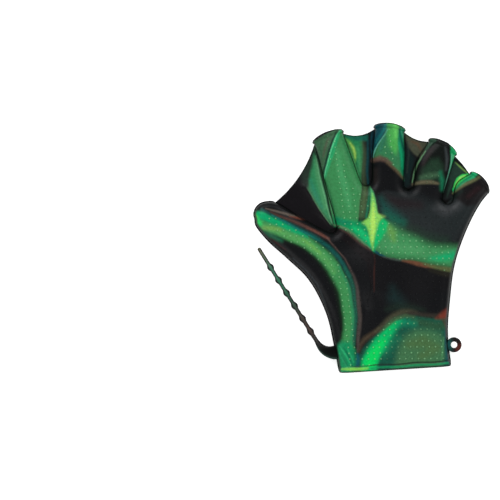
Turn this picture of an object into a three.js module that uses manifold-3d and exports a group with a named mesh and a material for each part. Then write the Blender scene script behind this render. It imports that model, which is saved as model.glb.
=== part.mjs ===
// Webbed half-finger swim glove, a hollow silicone moulding that lies palm up on its flattened back.
// Millimetres. +X points to the little finger, +Y to the fingertips and +Z up, off the surface.
import * as THREE from 'three';
import { mergeVertices } from 'three/addons/utils/BufferGeometryUtils.js';
import Module from 'manifold-3d';

// Plan of the glove
const SPAN = 188.8; // thumb tip to little-finger rim
const LENGTH = 198.6; // cuff edge to middle-finger rim
const SLEEVE_WIDTH = 26; // a finger sleeve pressed flat
const RIM_BOW = 2.2; // how far a sleeve's rim bows out past its two corners
const CROTCH_RADIUS = 4.2; // round bottom between two sleeves
const THUMB_TIP_RADIUS = 9.9;

// Height of the glove
const SEAM_HEIGHT = 7; // side seam above the surface that the glove lies on
const SLEEVE_RISE = 7; // top of a sleeve above the seam
const EDGE_ROUND = 9; // run over which a section rounds up from the seam
const PALM_DOME = 5.5; // extra rise of the palm's middle
const DOME_START = 11; // distance from the seam where that rise begins
const DOME_RUN = 30; // distance over which it is reached
const CUFF_RUN = 85; // distance from the cuff over which it grows

// Walls, webs and beads
const WALL = 1.5;
const WEB_THICKNESS = 1.4;
const RIM_BEAD_WIDTH = 2;
const RIM_BEAD_RISE = 0.8;
const CUFF_BEAD_WIDTH = 2.4;
const CUFF_BEAD_RISE = 0.8;
const BEAD_FLANK = 0.6; // run over which a bead falls back to the wall
const FIT_GAP = 0.3; // clearance of the strap and the eyelet to the cuff side
const ROOT_DEPTH = 2.2; // how far the strap is drawn into the cuff side before it is cut free

// Wrist strap
const STRAP_UP = 15.2; // middle of its root above the cuff's corner
const STRAP_TAB_WIDTH = 11;
const STRAP_TAB_LENGTH = 10; // root to the corner of the bend
const STRAP_THICKNESS = 3;
const STRAP_BEND = 8; // bend's reach each way from its corner
const STRAP_TURN = 122; // heading of the straight run, in degrees from +X
const STRAP_CORE = 3.2; // diameter between the beads
const STRAP_TAIL_CORE = 2.5;
const STRAP_BEADS = 6;
const STRAP_BEAD = 5; // diameter of a bead
const STRAP_BEAD_LENGTH = 5;
const STRAP_FIRST_BEAD = 19.8; // corner of the bend to the first bead
const STRAP_PITCH = 12.1;
const STRAP_TAIL = 18.5; // last bead to the tip

// Eyelet
const EYELET_UP = 21.4; // its middle above the cuff's corner
const EYELET_RADIUS = 6.1;
const EYELET_HOLE = 2.5;
const EYELET_THICKNESS = 3;
const EYELET_CHAMFER = 0.6;
const EYELET_BITE = 1.1; // how far the cuff side cuts into the ring

// Plan places are shares: x of the span from the cuff's middle, y of the length from the cuff edge.
// A sleeve has its rim's middle, its width as a share of the sleeve width, the turn of its rim from
// +X in degrees, and the bow of each side into the web, as a share of that side's length.
const SLEEVES = [
  { name: 'index', x: -0.285, y: 0.949, width: 0.95, turn: 21, leftBow: 0, rightBow: 0 },
  { name: 'middle', x: -0.023, y: 0.983, width: 0.92, turn: -6.5, leftBow: 0.02, rightBow: 0.02 },
  { name: 'ring', x: 0.204, y: 0.908, width: 0.91, turn: -29, leftBow: 0.11, rightBow: 0 },
  { name: 'little', x: 0.362, y: 0.764, width: 0.78, turn: -49.5, leftBow: 0.19, rightBow: 0 },
];

// A crotch has its centre, its radius as a share of the crotch radius, the spread of its round
// bottom to each side in degrees, the heading of its web, and the sag of that web's free edge as a
// share of the edge's length.
const CROTCHES = [
  { name: 'thumb_index', x: -0.269, y: 0.578, radius: 0.95, spread: 55, turn: 144, sag: 0.075 },
  { name: 'index_middle', x: -0.123, y: 0.771, radius: 1, spread: 80, turn: 91, sag: 0.13 },
  { name: 'middle_ring', x: 0.057, y: 0.751, radius: 0.86, spread: 85, turn: 85, sag: 0.09 },
  { name: 'ring_little', x: 0.222, y: 0.695, radius: 0.93, spread: 85, turn: 64, sag: -0.03 },
];

// Side seams, as plan places. The thumb side runs from the cuff to the thumb's tip, and the thumb
// begins at its fourth place. The tip is a round end with its heading and its spread to each side in
// degrees. The thumb's top runs on from there, and its web begins at the first place. The little
// side runs from the rim to the cuff, and the little finger begins at its second place.
const THUMB_SIDE = [
  { x: -0.235, y: 0 },
  { x: -0.256, y: 0.111 },
  { x: -0.29, y: 0.24 },
  { x: -0.364, y: 0.373 },
  { x: -0.458, y: 0.461 },
  { x: -0.538, y: 0.53 },
  { x: -0.589, y: 0.592 },
];
const THUMB_TIP = { x: -0.544, y: 0.632, turn: 150, spread: 55 };
const THUMB_TOP = [
  { x: -0.508, y: 0.681 },
  { x: -0.39, y: 0.614 },
];
const LITTLE_SIDE = [
  { x: 0.364, y: 0.687 },
  { x: 0.322, y: 0.618 },
  { x: 0.275, y: 0.513 },
  { x: 0.246, y: 0.417 },
  { x: 0.229, y: 0.288 },
  { x: 0.22, y: 0.167 },
  { x: 0.226, y: 0.087 },
  { x: 0.235, y: 0.028 },
];

// Creases and ridges: rise as a share of the sleeve rise (a groove is negative), reach to each side
// as a share of the sleeve width, and three plan places along the line.
const FOLDS = [
  { name: 'index_ridge', rise: 0.34, reach: 0.3, path: [[-0.242, 0.975], [-0.271, 0.9], [-0.305, 0.791]] },
  { name: 'middle_ridge', rise: 0.24, reach: 0.28, path: [[-0.025, 0.993], [-0.076, 0.908], [-0.091, 0.868]] },
  { name: 'middle_groove', rise: -0.26, reach: 0.26, path: [[0.02, 0.985], [0.034, 0.93], [0.044, 0.832]] },
  { name: 'ring_ridge', rise: 0.28, reach: 0.24, path: [[0.123, 0.892], [0.091, 0.836], [0.07, 0.771]] },
  { name: 'ring_groove', rise: -0.3, reach: 0.24, path: [[0.174, 0.924], [0.112, 0.864], [0.087, 0.791]] },
  { name: 'ring_side', rise: 0.26, reach: 0.26, path: [[0.22, 0.916], [0.235, 0.84], [0.203, 0.703]] },
  { name: 'little_ridge', rise: 0.26, reach: 0.28, path: [[0.309, 0.803], [0.27, 0.787], [0.246, 0.73]] },
  { name: 'palm_ridge', rise: 0.3, reach: 0.7, path: [[-0.11, 0.747], [-0.093, 0.59], [-0.093, 0.328]] },
  { name: 'cuff_crease', rise: -0.16, reach: 0.5, path: [[-0.127, 0.248], [-0.142, 0.19], [-0.157, 0.08]] },
  { name: 'thumb_groove', rise: -0.22, reach: 0.28, path: [[-0.551, 0.658], [-0.487, 0.646], [-0.386, 0.61]] },
];

// Folds of the webs, in the same way
const WEB_FOLDS = [
  { name: 'thumb_web_fold', rise: 0.3, reach: 0.45, path: [[-0.381, 0.743], [-0.318, 0.656], [-0.263, 0.586]] },
];

// The strap's bend: places as shares of its reach from the corner, widths as shares of the tab's
const STRAP_NARROWING = [
  { at: -0.9, width: 1 },
  { at: -0.4, width: 0.84 },
  { at: 0.2, width: 0.64 },
  { at: 0.8, width: 0.44 },
];
const STRAP_ROUND = 1.4; // place where it is round

// A bead: places as shares of its length from its middle, rise as a share from the core to the bead
const BEAD_SHAPE = [
  { at: -0.5, rise: 0 },
  { at: -0.16, rise: 1 },
  { at: 0.16, rise: 1 },
  { at: 0.5, rise: 0 },
];

// The strap's round tip: places back from the tip and widths, both as shares of its diameter there
const TAIL_SHAPE = [
  { back: 0.8, width: 1 },
  { back: 0.3, width: 0.8 },
  { back: 0, width: 0.35 },
];

// Mesh density
const COLUMNS = 8; // across a sleeve or the thumb
const PALM_ROWS = 14; // cuff to the sleeves and the thumb
const PALM_CROWDING = 0.5; // how much closer those rows stand near the sleeves
const CUFF_CROWDING = 0.7; // how much closer the columns stand at the cuff's two sides
const ARC_ROWS = 3; // along a crotch's quarter arc
const WEB_ROWS = 7; // from there to the end of the web
const BASE_SAG = 5; // how far a sleeve's base line bows into the palm
const TIP_ROWS = [0.4, 0.8]; // places of the rows between the web's end and the thumb's round end
const TIP_ARC = 7; // half of the round end that closes the thumb
const THUMB_RELAXING = 4; // passes that even out the thumb's cells
const WEB_RELAXING = 3;
const SEAM_STEPS = 160;
const FOLD_STEPS = 12;
const BLEND_POWER = 4; // how sharply the distances from two seams join where they are equal
const ON_SEAM = 0.2; // anything nearer to the seam lies on it
const SAME_PLACE = 1e-3; // vertices nearer than this are one
const STRAP_SIDES = 8;
const EYELET_SIDES = 24;

const wasm = await Module();
wasm.setup();

const { lerp, clamp, smoothstep, degToRad } = THREE.MathUtils;
const place = (x, y) => new THREE.Vector3(x * SPAN, y * LENGTH, 0);
function heading(degrees) {
  const angle = degToRad(degrees);
  return new THREE.Vector3(Math.cos(angle), Math.sin(angle), 0);
}

const leftOf = (direction) => new THREE.Vector3(-direction.y, direction.x, 0);
const steps = (count) => Array.from({ length: count + 1 }, (_, i) => i / count);
const crowded = (count) => steps(count).map((share) => (1 - Math.cos(Math.PI * share)) / 2);

// Corners of a sleeve's rim
function rimOf(sleeve) {
  const half = heading(sleeve.turn).multiplyScalar((sleeve.width * SLEEVE_WIDTH) / 2);
  const middle = place(sleeve.x, sleeve.y);
  return { left: middle.clone().sub(half), right: middle.clone().add(half) };
}

// Five places along an arc that spreads to both sides of a heading
function arcAround({ x, y }, radius, turn, spread) {
  return [-1, -0.5, 0, 0.5, 1].map((share) =>
    place(x, y).addScaledVector(heading(turn + share * spread), radius));
}

// Places around a crotch's round bottom, from the thumb's side of it
function crotchArc(crotch) {
  return arcAround(crotch, crotch.radius * CROTCH_RADIUS, crotch.turn + 180, crotch.spread);
}

// Middle of a sleeve's side, bowed to the left of its heading
function bowed(from, to, bow) {
  const along = to.clone().sub(from);
  return from.clone().lerp(to, 0.5).addScaledVector(leftOf(along), bow);
}

// A seam: one smooth curve through its knots, with marks on some of them
function seamThrough(parts) {
  const knots = [];
  const marks = {};
  for (const { points, mark, markAt } of parts) {
    if (mark) marks[mark] = knots.length + (markAt ?? 0);
    knots.push(...points);
  }
  return { curve: new THREE.CatmullRomCurve3(knots, false, 'centripetal'), marks, last: knots.length - 1 };
}

// Distance travelled to each point of a line
function travelAlong(line) {
  const travelled = [0];
  for (let i = 1; i < line.length; i += 1) {
    travelled.push(travelled[i - 1] + line[i].distanceTo(line[i - 1]));
  }
  return travelled;
}

// The stretch of a seam between two knots, measured along its length
function stretchOf(seam, from, to) {
  const shares = steps(SEAM_STEPS).map((share) => lerp(from, to, share) / seam.last);
  const points = shares.map((share) => seam.curve.getPoint(share));
  const travelled = travelAlong(points);
  const length = travelled[SEAM_STEPS];
  const at = (distance) => {
    const goal = clamp(distance, 0, length);
    const i = Math.max(1, travelled.findIndex((value) => value >= goal));
    const share = (goal - travelled[i - 1]) / (travelled[i] - travelled[i - 1]);
    return points[i - 1].clone().lerp(points[i], share);
  };
  return { at, length, points };
}

// The five seams, thumb side first
function makeSeams() {
  const rims = SLEEVES.map(rimOf);
  const tip = arcAround(THUMB_TIP, THUMB_TIP_RADIUS, THUMB_TIP.turn, -THUMB_TIP.spread);
  const firstArc = crotchArc(CROTCHES[0]);
  const seams = [seamThrough([
    { points: THUMB_SIDE.map(({ x, y }) => place(x, y)), mark: 'base', markAt: 3 },
    { points: tip, mark: 'tip', markAt: 2 },
    { points: THUMB_TOP.map(({ x, y }) => place(x, y)), mark: 'web' },
    { points: firstArc, mark: 'crotch', markAt: 2 },
    { points: [bowed(firstArc[4], rims[0].left, SLEEVES[0].leftBow)] },
    { points: [rims[0].left], mark: 'rim' },
  ])];
  for (let i = 1; i < CROTCHES.length; i += 1) {
    const arc = crotchArc(CROTCHES[i]);
    seams.push(seamThrough([
      { points: [rims[i - 1].right], mark: 'web' },
      { points: [bowed(rims[i - 1].right, arc[0], SLEEVES[i - 1].rightBow)] },
      { points: arc, mark: 'crotch', markAt: 2 },
      { points: [bowed(arc[4], rims[i].left, SLEEVES[i].leftBow)] },
      { points: [rims[i].left], mark: 'rim' },
    ]));
  }
  seams.push(seamThrough([
    { points: [rims[3].right] },
    { points: LITTLE_SIDE.map(({ x, y }) => place(x, y)), mark: 'base', markAt: 1 },
  ]));
  return seams;
}

const seams = makeSeams();
const [thumbSeam, , , , littleSeam] = seams;
const seamLines = [
  stretchOf(thumbSeam, 0, thumbSeam.marks.tip).points,
  stretchOf(thumbSeam, thumbSeam.marks.tip, thumbSeam.last).points,
  ...seams.slice(1).map((seam) => stretchOf(seam, 0, seam.last).points),
];

// Distance from a plan place to a line of points
function distanceToLine(line, x, y) {
  let nearest = Infinity;
  for (let i = 1; i < line.length; i += 1) {
    const a = line[i - 1];
    const dx = line[i].x - a.x;
    const dy = line[i].y - a.y;
    const share = clamp(((x - a.x) * dx + (y - a.y) * dy) / (dx * dx + dy * dy), 0, 1);
    nearest = Math.min(nearest, Math.hypot(a.x + share * dx - x, a.y + share * dy - y));
  }
  return nearest;
}

// Distance from all the seams at once, smooth where two are equally near
function seamDistance(x, y) {
  const near = (line) => Math.max(distanceToLine(line, x, y), Number.EPSILON) ** -BLEND_POWER;
  return seamLines.reduce((total, line) => total + near(line), 0) ** (-1 / BLEND_POWER);
}

// Folds with the line that each one follows
function drawn(folds) {
  return folds.map(({ rise, reach, path }) => {
    const line = new THREE.CatmullRomCurve3(path.map(([x, y]) => place(x, y))).getPoints(FOLD_STEPS);
    return { rise: rise * SLEEVE_RISE, reach: reach * SLEEVE_WIDTH, line };
  });
}
const bodyFolds = drawn(FOLDS);
const webFolds = drawn(WEB_FOLDS);

// Height that the folds add at a plan place
function foldRise(folds, x, y) {
  const share = ({ line, reach }) => Math.max(0, 1 - distanceToLine(line, x, y) / reach) ** 2;
  return folds.reduce((total, fold) => total + fold.rise * share(fold), 0);
}

// Share of the full height at a distance from the seam: a quarter of an ellipse
const rounding = (distance) => Math.sqrt(1 - (1 - Math.min(distance / EDGE_ROUND, 1)) ** 2);

function upperHeight(x, y) {
  const distance = seamDistance(x, y);
  if (distance < ON_SEAM) return SEAM_HEIGHT;
  const middle = smoothstep(distance, DOME_START, DOME_START + DOME_RUN);
  const dome = PALM_DOME * middle * smoothstep(y, 0, CUFF_RUN);
  const folds = foldRise(bodyFolds, x, y) * Math.min(distance / EDGE_ROUND, 1);
  return SEAM_HEIGHT + SLEEVE_RISE * rounding(distance) + dome + folds;
}

function lowerHeight(x, y) {
  const distance = seamDistance(x, y);
  return distance < ON_SEAM ? SEAM_HEIGHT : SEAM_HEIGHT * (1 - rounding(distance));
}

// Rows of plan places filling the field between four sides, which share their corners
function fill(south, north, west, east) {
  const shares = (side) => travelAlong(side).map((value, i, all) => value / all[all.length - 1]);
  const [s, n, w, e] = [south, north, west, east].map(shares);
  return west.map((left, j) => south.map((low, i) => {
    const v = (w[j] + e[j]) / 2;
    const u = lerp(s[i], n[i], v);
    if (i === 0) return left;
    if (i === south.length - 1) return east[j];
    if (j === 0) return low;
    if (j === west.length - 1) return north[i];
    const sides = new THREE.Vector3()
      .addScaledVector(low, 1 - v).addScaledVector(north[i], v)
      .addScaledVector(left, 1 - u).addScaledVector(east[j], u);
    return sides
      .addScaledVector(west[0], -(1 - u) * (1 - v)).addScaledVector(east[0], -u * (1 - v))
      .addScaledVector(west[west.length - 1], -(1 - u) * v).addScaledVector(east[east.length - 1], -u * v);
  }));
}

// Plan rows whose inner places have moved to the middle of their four neighbours, pass by pass
function relaxed(rows, passes) {
  let current = rows;
  for (let pass = 0; pass < passes; pass += 1) {
    const last = current;
    current = last.map((row, j) => row.map((point, i) => {
      if (i === 0 || j === 0 || i === row.length - 1 || j === last.length - 1) return point;
      const neighbours = [row[i - 1], row[i + 1], last[j - 1][i], last[j + 1][i]];
      return neighbours.reduce((sum, other) => sum.add(other), new THREE.Vector3()).divideScalar(4);
    }));
  }
  return current;
}

// A line between two places that bows to the left of its heading, at the given shares
function arched(from, to, bow, shares) {
  const side = leftOf(to.clone().sub(from).normalize());
  return shares.map((share) =>
    from.clone().lerp(to, share).addScaledVector(side, 4 * share * (1 - share) * bow));
}

// Distances from a crotch's bottom of the rows around its quarter arc, and of those from there to
// where the web ends
const QUARTER_ARC = (CROTCH_RADIUS * Math.PI) / 2;
const arcRows = () => steps(ARC_ROWS).map((share) => share * QUARTER_ARC);
const webbedRows = (end) => steps(WEB_ROWS).map((share) => lerp(QUARTER_ARC, end, share));
const rimNeck = (length) => length - RIM_BEAD_WIDTH - BEAD_FLANK;

// Distances of the rows along one side of a sleeve, from its crotch to its rim
function sleeveRows(length) {
  return [...arcRows(), ...webbedRows(rimNeck(length)).slice(1), length - RIM_BEAD_WIDTH, length];
}

// Distances of the rows along one side of the thumb, from its base to its round end
function thumbRows(length, webEnd) {
  const end = length - TIP_ARC;
  const tipRows = TIP_ROWS.map((share) => lerp(webEnd, end, share));
  return [...arcRows(), ...webbedRows(webEnd).slice(1), ...tipRows, end];
}

// Distances of the palm's rows along one of its sides, closer together towards the sleeves
function palmRows(length) {
  const start = CUFF_BEAD_WIDTH + BEAD_FLANK;
  const shares = steps(PALM_ROWS).map((share) => lerp(share, Math.sin((share * Math.PI) / 2), PALM_CROWDING));
  return [0, CUFF_BEAD_WIDTH, ...shares.map((share) => lerp(start, length, share))];
}

const along = (stretch, distances) => distances.map(stretch.at);

// Plan fields of the glove, each with its rows and how far the bead stands proud in each row
function makeFields() {
  const crotchOf = (seam) => seam.curve.getPoint(seam.marks.crotch / seam.last);
  const littleBase = littleSeam.curve.getPoint(littleSeam.marks.base / littleSeam.last);
  const bottoms = [...seams.slice(0, 4).map(crotchOf), littleBase];
  const bases = SLEEVES.map((_, i) => arched(bottoms[i], bottoms[i + 1], -BASE_SAG, crowded(COLUMNS)));

  const sleeves = SLEEVES.map((sleeve, i) => {
    const rim = rimOf(sleeve);
    const left = stretchOf(seams[i], seams[i].marks.crotch, seams[i].marks.rim);
    const right = stretchOf(seams[i + 1], seams[i + 1].marks.crotch ?? seams[i + 1].marks.base, 0);
    const north = arched(rim.left, rim.right, RIM_BOW, crowded(COLUMNS));
    const sides = [left, right].map((side) => along(side, sleeveRows(side.length)));
    const rows = fill(bases[i], north, ...sides);
    return { rows, bead: (j) => (j >= rows.length - 2 ? RIM_BEAD_RISE : 0) };
  });

  const { base, tip, crotch, web } = thumbSeam.marks;
  const under = stretchOf(thumbSeam, base, tip);
  const over = stretchOf(thumbSeam, crotch, tip);
  const thumbBase = arched(under.at(0), over.at(0), -BASE_SAG, crowded(COLUMNS));
  const end = steps(COLUMNS).map((share) => (share < 0.5
    ? under.at(under.length - TIP_ARC * (1 - 2 * share))
    : over.at(over.length - TIP_ARC * (2 * share - 1))));
  const webEnd = stretchOf(thumbSeam, crotch, web).length / over.length;
  const thumbSides = [under, over].map((side) => along(side, thumbRows(side.length, webEnd * side.length)));
  const thumb = { rows: relaxed(fill(thumbBase, end, ...thumbSides), THUMB_RELAXING), bead: () => 0 };

  const outer = stretchOf(thumbSeam, 0, base);
  const inner = stretchOf(littleSeam, littleSeam.last, littleSeam.marks.base);
  const top = [thumbBase, ...bases].flatMap((line, i) => (i ? line.slice(1) : line));
  const cuffShares = steps(top.length - 1).map(
    (share) => share - (CUFF_CROWDING * Math.sin(2 * Math.PI * share)) / (2 * Math.PI));
  const cuff = arched(outer.at(0), inner.at(0), 0, cuffShares);
  const palmSides = [outer, inner].map((side) => along(side, palmRows(side.length)));
  const palm = { rows: fill(cuff, top, ...palmSides), bead: (j) => (j < 2 ? CUFF_BEAD_RISE : 0) };
  return [palm, thumb, ...sleeves];
}

// The two triangles of a four-cornered cell, split so that the smaller one is as large as it can be
function splitCell([a, b, c, d]) {
  const area = (p, q, r) => (q.x - p.x) * (r.y - p.y) - (q.y - p.y) * (r.x - p.x);
  const oneWay = Math.min(area(a, b, c), area(a, c, d));
  const otherWay = Math.min(area(b, c, d), area(b, d, a));
  return oneWay >= otherWay ? [[0, 1, 2], [0, 2, 3]] : [[1, 2, 3], [1, 3, 0]];
}

// Cells of plan rows, each as its corners and its triangles, with the row that each corner is in
function cellsOf(rows) {
  return rows.slice(1).flatMap((row, j) => row.slice(1).map((_, i) => {
    const spots = [[j, i], [j, i + 1], [j + 1, i + 1], [j + 1, i]];
    const triangles = splitCell(spots.map(([k, l]) => rows[k][l]));
    return { spots, triangles };
  }));
}

// An open surface over plan fields, its vertices shared, with normals out and a bead value each
function surfaceOver(fields, heights) {
  const position = [];
  const bead = [];
  for (const { rows, bead: beadOf } of fields) {
    for (const { spots, triangles } of cellsOf(rows)) {
      const corners = triangles.flat();
      heights.forEach((height, side) => {
        for (const corner of side ? [...corners].reverse() : corners) {
          const [j, i] = spots[corner];
          const { x, y } = rows[j][i];
          position.push(x, y, height(x, y));
          bead.push(beadOf(j));
        }
      });
    }
  }
  const geometry = new THREE.BufferGeometry();
  geometry.setAttribute('position', new THREE.Float32BufferAttribute(position, 3));
  geometry.setAttribute('bead', new THREE.Float32BufferAttribute(bead, 1));
  const surface = withoutSlivers(mergeVertices(geometry, SAME_PLACE));
  surface.computeVertexNormals();
  return surface;
}

// The same surface without triangles that two of their own corners share
function withoutSlivers(surface) {
  const index = surface.getIndex().array;
  const kept = [];
  for (let i = 0; i < index.length; i += 3) {
    const [a, b, c] = index.slice(i, i + 3);
    if (a !== b && b !== c && c !== a) kept.push(a, b, c);
  }
  surface.setIndex(kept);
  return surface;
}

// Solid from a closed three.js geometry
function solidFrom(geometry) {
  const bare = geometry.clone();
  for (const name of Object.keys(bare.attributes)) {
    if (name !== 'position') bare.deleteAttribute(name);
  }
  const merged = withoutSlivers(mergeVertices(bare.getIndex() ? bare.toNonIndexed() : bare, SAME_PLACE));
  return new wasm.Manifold(new wasm.Mesh({
    numProp: 3,
    vertProperties: merged.getAttribute('position').array,
    triVerts: new Uint32Array(merged.getIndex().array),
  }));
}

function geometryFrom(solid) {
  const { vertProperties, triVerts } = solid.getMesh();
  const geometry = new THREE.BufferGeometry();
  geometry.setAttribute('position', new THREE.Float32BufferAttribute(vertProperties, 3));
  geometry.setIndex(new THREE.BufferAttribute(triVerts, 1));
  geometry.computeVertexNormals();
  return geometry;
}

// Plan rows of a web, from the round bottom of its crotch to its free edge
function webRows(seam, crotch) {
  const { marks } = seam;
  const left = stretchOf(seam, marks.crotch, marks.tip ?? marks.web);
  const right = stretchOf(seam, marks.crotch, marks.rim);
  const leftEnd = marks.tip ? stretchOf(seam, marks.crotch, marks.web).length : rimNeck(left.length);
  const south = [...along(left, arcRows()).reverse(), ...along(right, arcRows()).slice(1)];
  const west = along(left, webbedRows(leftEnd));
  const east = along(right, webbedRows(rimNeck(right.length)));
  const [first, last] = [west[WEB_ROWS], east[WEB_ROWS]];
  const north = arched(first, last, -crotch.sag * first.distanceTo(last), steps(2 * ARC_ROWS));
  return relaxed(fill(south, north, west, east), WEB_RELAXING);
}

// Height of the middle of a web, which lies at the seam along its root
function webHeight(x, y) {
  const distance = seamDistance(x, y);
  if (distance < ON_SEAM) return SEAM_HEIGHT;
  return SEAM_HEIGHT + Math.min(distance / EDGE_ROUND, 1) * foldRise(webFolds, x, y);
}

// Triangles of a web: its two faces and its free edge, which thins out to nothing at both ends
function webTriangles(rows) {
  const end = rows.length - 1;
  const last = rows[end].length - 1;
  const at = (j, i, side) => {
    const { x, y } = rows[j][i];
    const half = j === end && (i === 0 || i === last) ? 0 : WEB_THICKNESS / 2;
    return new THREE.Vector3(x, y, webHeight(x, y) + side * half);
  };
  const faces = cellsOf(rows).flatMap(({ spots, triangles }) => triangles.flatMap((corners) => [
    corners.map((corner) => at(...spots[corner], 1)),
    [...corners].reverse().map((corner) => at(...spots[corner], -1)),
  ]));
  const edges = steps(last - 1).flatMap((_, i) => [
    [at(end, i, 1), at(end, i + 1, 1), at(end, i + 1, -1)],
    [at(end, i, 1), at(end, i + 1, -1), at(end, i, -1)],
  ]);
  return [...faces, ...edges];
}

// The moulding: an outer and an inner skin that meet at the openings, and the webs between the
// sleeves. Where a web is rooted, the outer skin's two halves stand apart by the web's thickness.
function makeShell() {
  const skin = surfaceOver(makeFields(), [upperHeight, lowerHeight]);
  const webs = CROTCHES.map((crotch, i) => webRows(seams[i], crotch));
  const roots = webs.flatMap((rows) => [
    ...rows[0], ...rows.slice(1, -1).flatMap((row) => [row[0], row[row.length - 1]]),
  ]);
  const { position, normal, bead } = skin.attributes;
  const spot = (i) => new THREE.Vector3().fromBufferAttribute(position, i);
  const out = (i) => new THREE.Vector3().fromBufferAttribute(normal, i);
  const rooted = steps(position.count - 1).map((_, i) => roots.some((root) =>
    Math.hypot(root.x - position.getX(i), root.y - position.getY(i)) < ON_SEAM / 2));
  const inner = (i) => spot(i).addScaledVector(out(i), -WALL);
  const outer = (i, side) => {
    const point = spot(i).addScaledVector(out(i), bead.getX(i));
    point.z = rooted[i] ? SEAM_HEIGHT + (side * WEB_THICKNESS) / 2 : Math.max(0, point.z);
    return point;
  };

  const triangles = webs.flatMap(webTriangles);
  const edges = new Map();
  const index = skin.getIndex().array;
  for (let i = 0; i < index.length; i += 3) {
    const [a, b, c] = index.slice(i, i + 3);
    const side = Math.max(position.getZ(a), position.getZ(b), position.getZ(c)) > SEAM_HEIGHT ? 1 : -1;
    triangles.push([outer(a, side), outer(b, side), outer(c, side)], [inner(c), inner(b), inner(a)]);
    for (const [from, to] of [[a, b], [b, c], [c, a]]) {
      if (!edges.delete(`${to} ${from}`)) edges.set(`${from} ${to}`, [from, to, side]);
    }
  }
  for (const [from, to, side] of edges.values()) {
    triangles.push([outer(from, side), inner(from), inner(to)]);
    triangles.push([outer(from, side), inner(to), outer(to, side)]);
  }
  return solidFrom(new THREE.BufferGeometry().setFromPoints(triangles.flat()));
}

// The two sides of the cuff and the palm
const outerSide = stretchOf(thumbSeam, 0, thumbSeam.marks.base).points;
const innerSide = stretchOf(littleSeam, littleSeam.marks.base, littleSeam.last).points;

// Place of a side at a height above the cuff's corner
function placeAt(side, up) {
  return side.reduce((best, point) => (Math.abs(point.y - up) < Math.abs(best.y - up) ? point : best));
}

// The palm's plan with the fit gap around it, as a cutter for what stands against its sides
function cuffCutter() {
  const outline = new THREE.Shape([
    ...outerSide.map((point) => new THREE.Vector2(point.x - FIT_GAP, point.y)),
    ...innerSide.map((point) => new THREE.Vector2(point.x + FIT_GAP, point.y)),
  ]);
  return solidFrom(new THREE.ExtrudeGeometry(outline, { depth: SEAM_HEIGHT * 2, bevelEnabled: false }));
}

// Stations along the strap: travel from its root, half width and half thickness
function strapStations() {
  const run = STRAP_FIRST_BEAD + (STRAP_BEADS - 1) * STRAP_PITCH + STRAP_TAIL;
  const core = (travel) => lerp(STRAP_CORE, STRAP_TAIL_CORE, travel / run) / 2;
  const station = (travel, width, thickness) => ({ travel: STRAP_TAB_LENGTH + travel, width, thickness });
  const tab = [{ at: -(STRAP_TAB_LENGTH + ROOT_DEPTH) / STRAP_BEND, width: 1 }, ...STRAP_NARROWING];
  const stations = tab.map(({ at, width }) =>
    station(at * STRAP_BEND, (width * STRAP_TAB_WIDTH) / 2, STRAP_THICKNESS / 2));
  stations.push(station(STRAP_ROUND * STRAP_BEND, core(0), core(0)));
  for (let i = 0; i < STRAP_BEADS; i += 1) {
    const middle = STRAP_FIRST_BEAD + i * STRAP_PITCH;
    for (const { at, rise } of BEAD_SHAPE) {
      const half = lerp(core(middle), STRAP_BEAD / 2, rise);
      stations.push(station(middle + at * STRAP_BEAD_LENGTH, half, half));
    }
  }
  for (const { back, width } of TAIL_SHAPE) {
    const half = (width * STRAP_TAIL_CORE) / 2;
    stations.push(station(run - back * STRAP_TAIL_CORE, half, half));
  }
  return stations;
}

// The strap leaves the cuff at the seam and comes down to lie on its beads
function makeStrap() {
  const root = placeAt(outerSide, STRAP_UP).clone().setY(STRAP_UP);
  const corner = root.clone().addScaledVector(heading(180), STRAP_TAB_LENGTH);
  const before = corner.clone().addScaledVector(heading(0), STRAP_BEND);
  const after = corner.clone().addScaledVector(heading(STRAP_TURN), STRAP_BEND);
  const stations = strapStations();
  const first = stations[0].travel;
  const last = stations[stations.length - 1].travel;
  const tip = corner.clone().addScaledVector(heading(STRAP_TURN), last - STRAP_TAB_LENGTH);
  const route = new THREE.CurvePath();
  route.add(new THREE.LineCurve3(root.clone().addScaledVector(heading(0), ROOT_DEPTH), before));
  route.add(new THREE.QuadraticBezierCurve3(before, corner, after));
  route.add(new THREE.LineCurve3(after, tip));

  const rings = stations.map(({ travel, width, thickness }) => {
    const share = (travel - first) / (last - first);
    const middle = route.getPointAt(share);
    const side = leftOf(route.getTangentAt(share));
    const fallen = smoothstep(travel, STRAP_TAB_LENGTH / 2, STRAP_TAB_LENGTH + STRAP_FIRST_BEAD);
    middle.z = lerp(SEAM_HEIGHT, STRAP_BEAD / 2, fallen);
    return Array.from({ length: STRAP_SIDES }, (_, k) => {
      const angle = ((k + 0.5) / STRAP_SIDES) * Math.PI * 2;
      const up = new THREE.Vector3(0, 0, thickness * Math.sin(angle));
      return middle.clone().addScaledVector(side, width * Math.cos(angle)).add(up);
    });
  });
  return loftedSolid(rings).subtract(cuffCutter());
}

// A closed solid through rings of equal numbers of places
function loftedSolid(rings) {
  const sides = rings[0].length;
  const faces = [];
  for (let j = 1; j < rings.length; j += 1) {
    for (let k = 0; k < sides; k += 1) {
      const next = (k + 1) % sides;
      const [a, b, c, d] = [rings[j - 1][k], rings[j - 1][next], rings[j][next], rings[j][k]];
      faces.push(a, b, c, a, c, d);
    }
  }
  const [first, last] = [rings[0], rings[rings.length - 1]];
  for (let k = 2; k < sides; k += 1) {
    faces.push(first[0], first[k], first[k - 1], last[0], last[k - 1], last[k]);
  }
  return solidFrom(new THREE.BufferGeometry().setFromPoints(faces));
}

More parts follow.
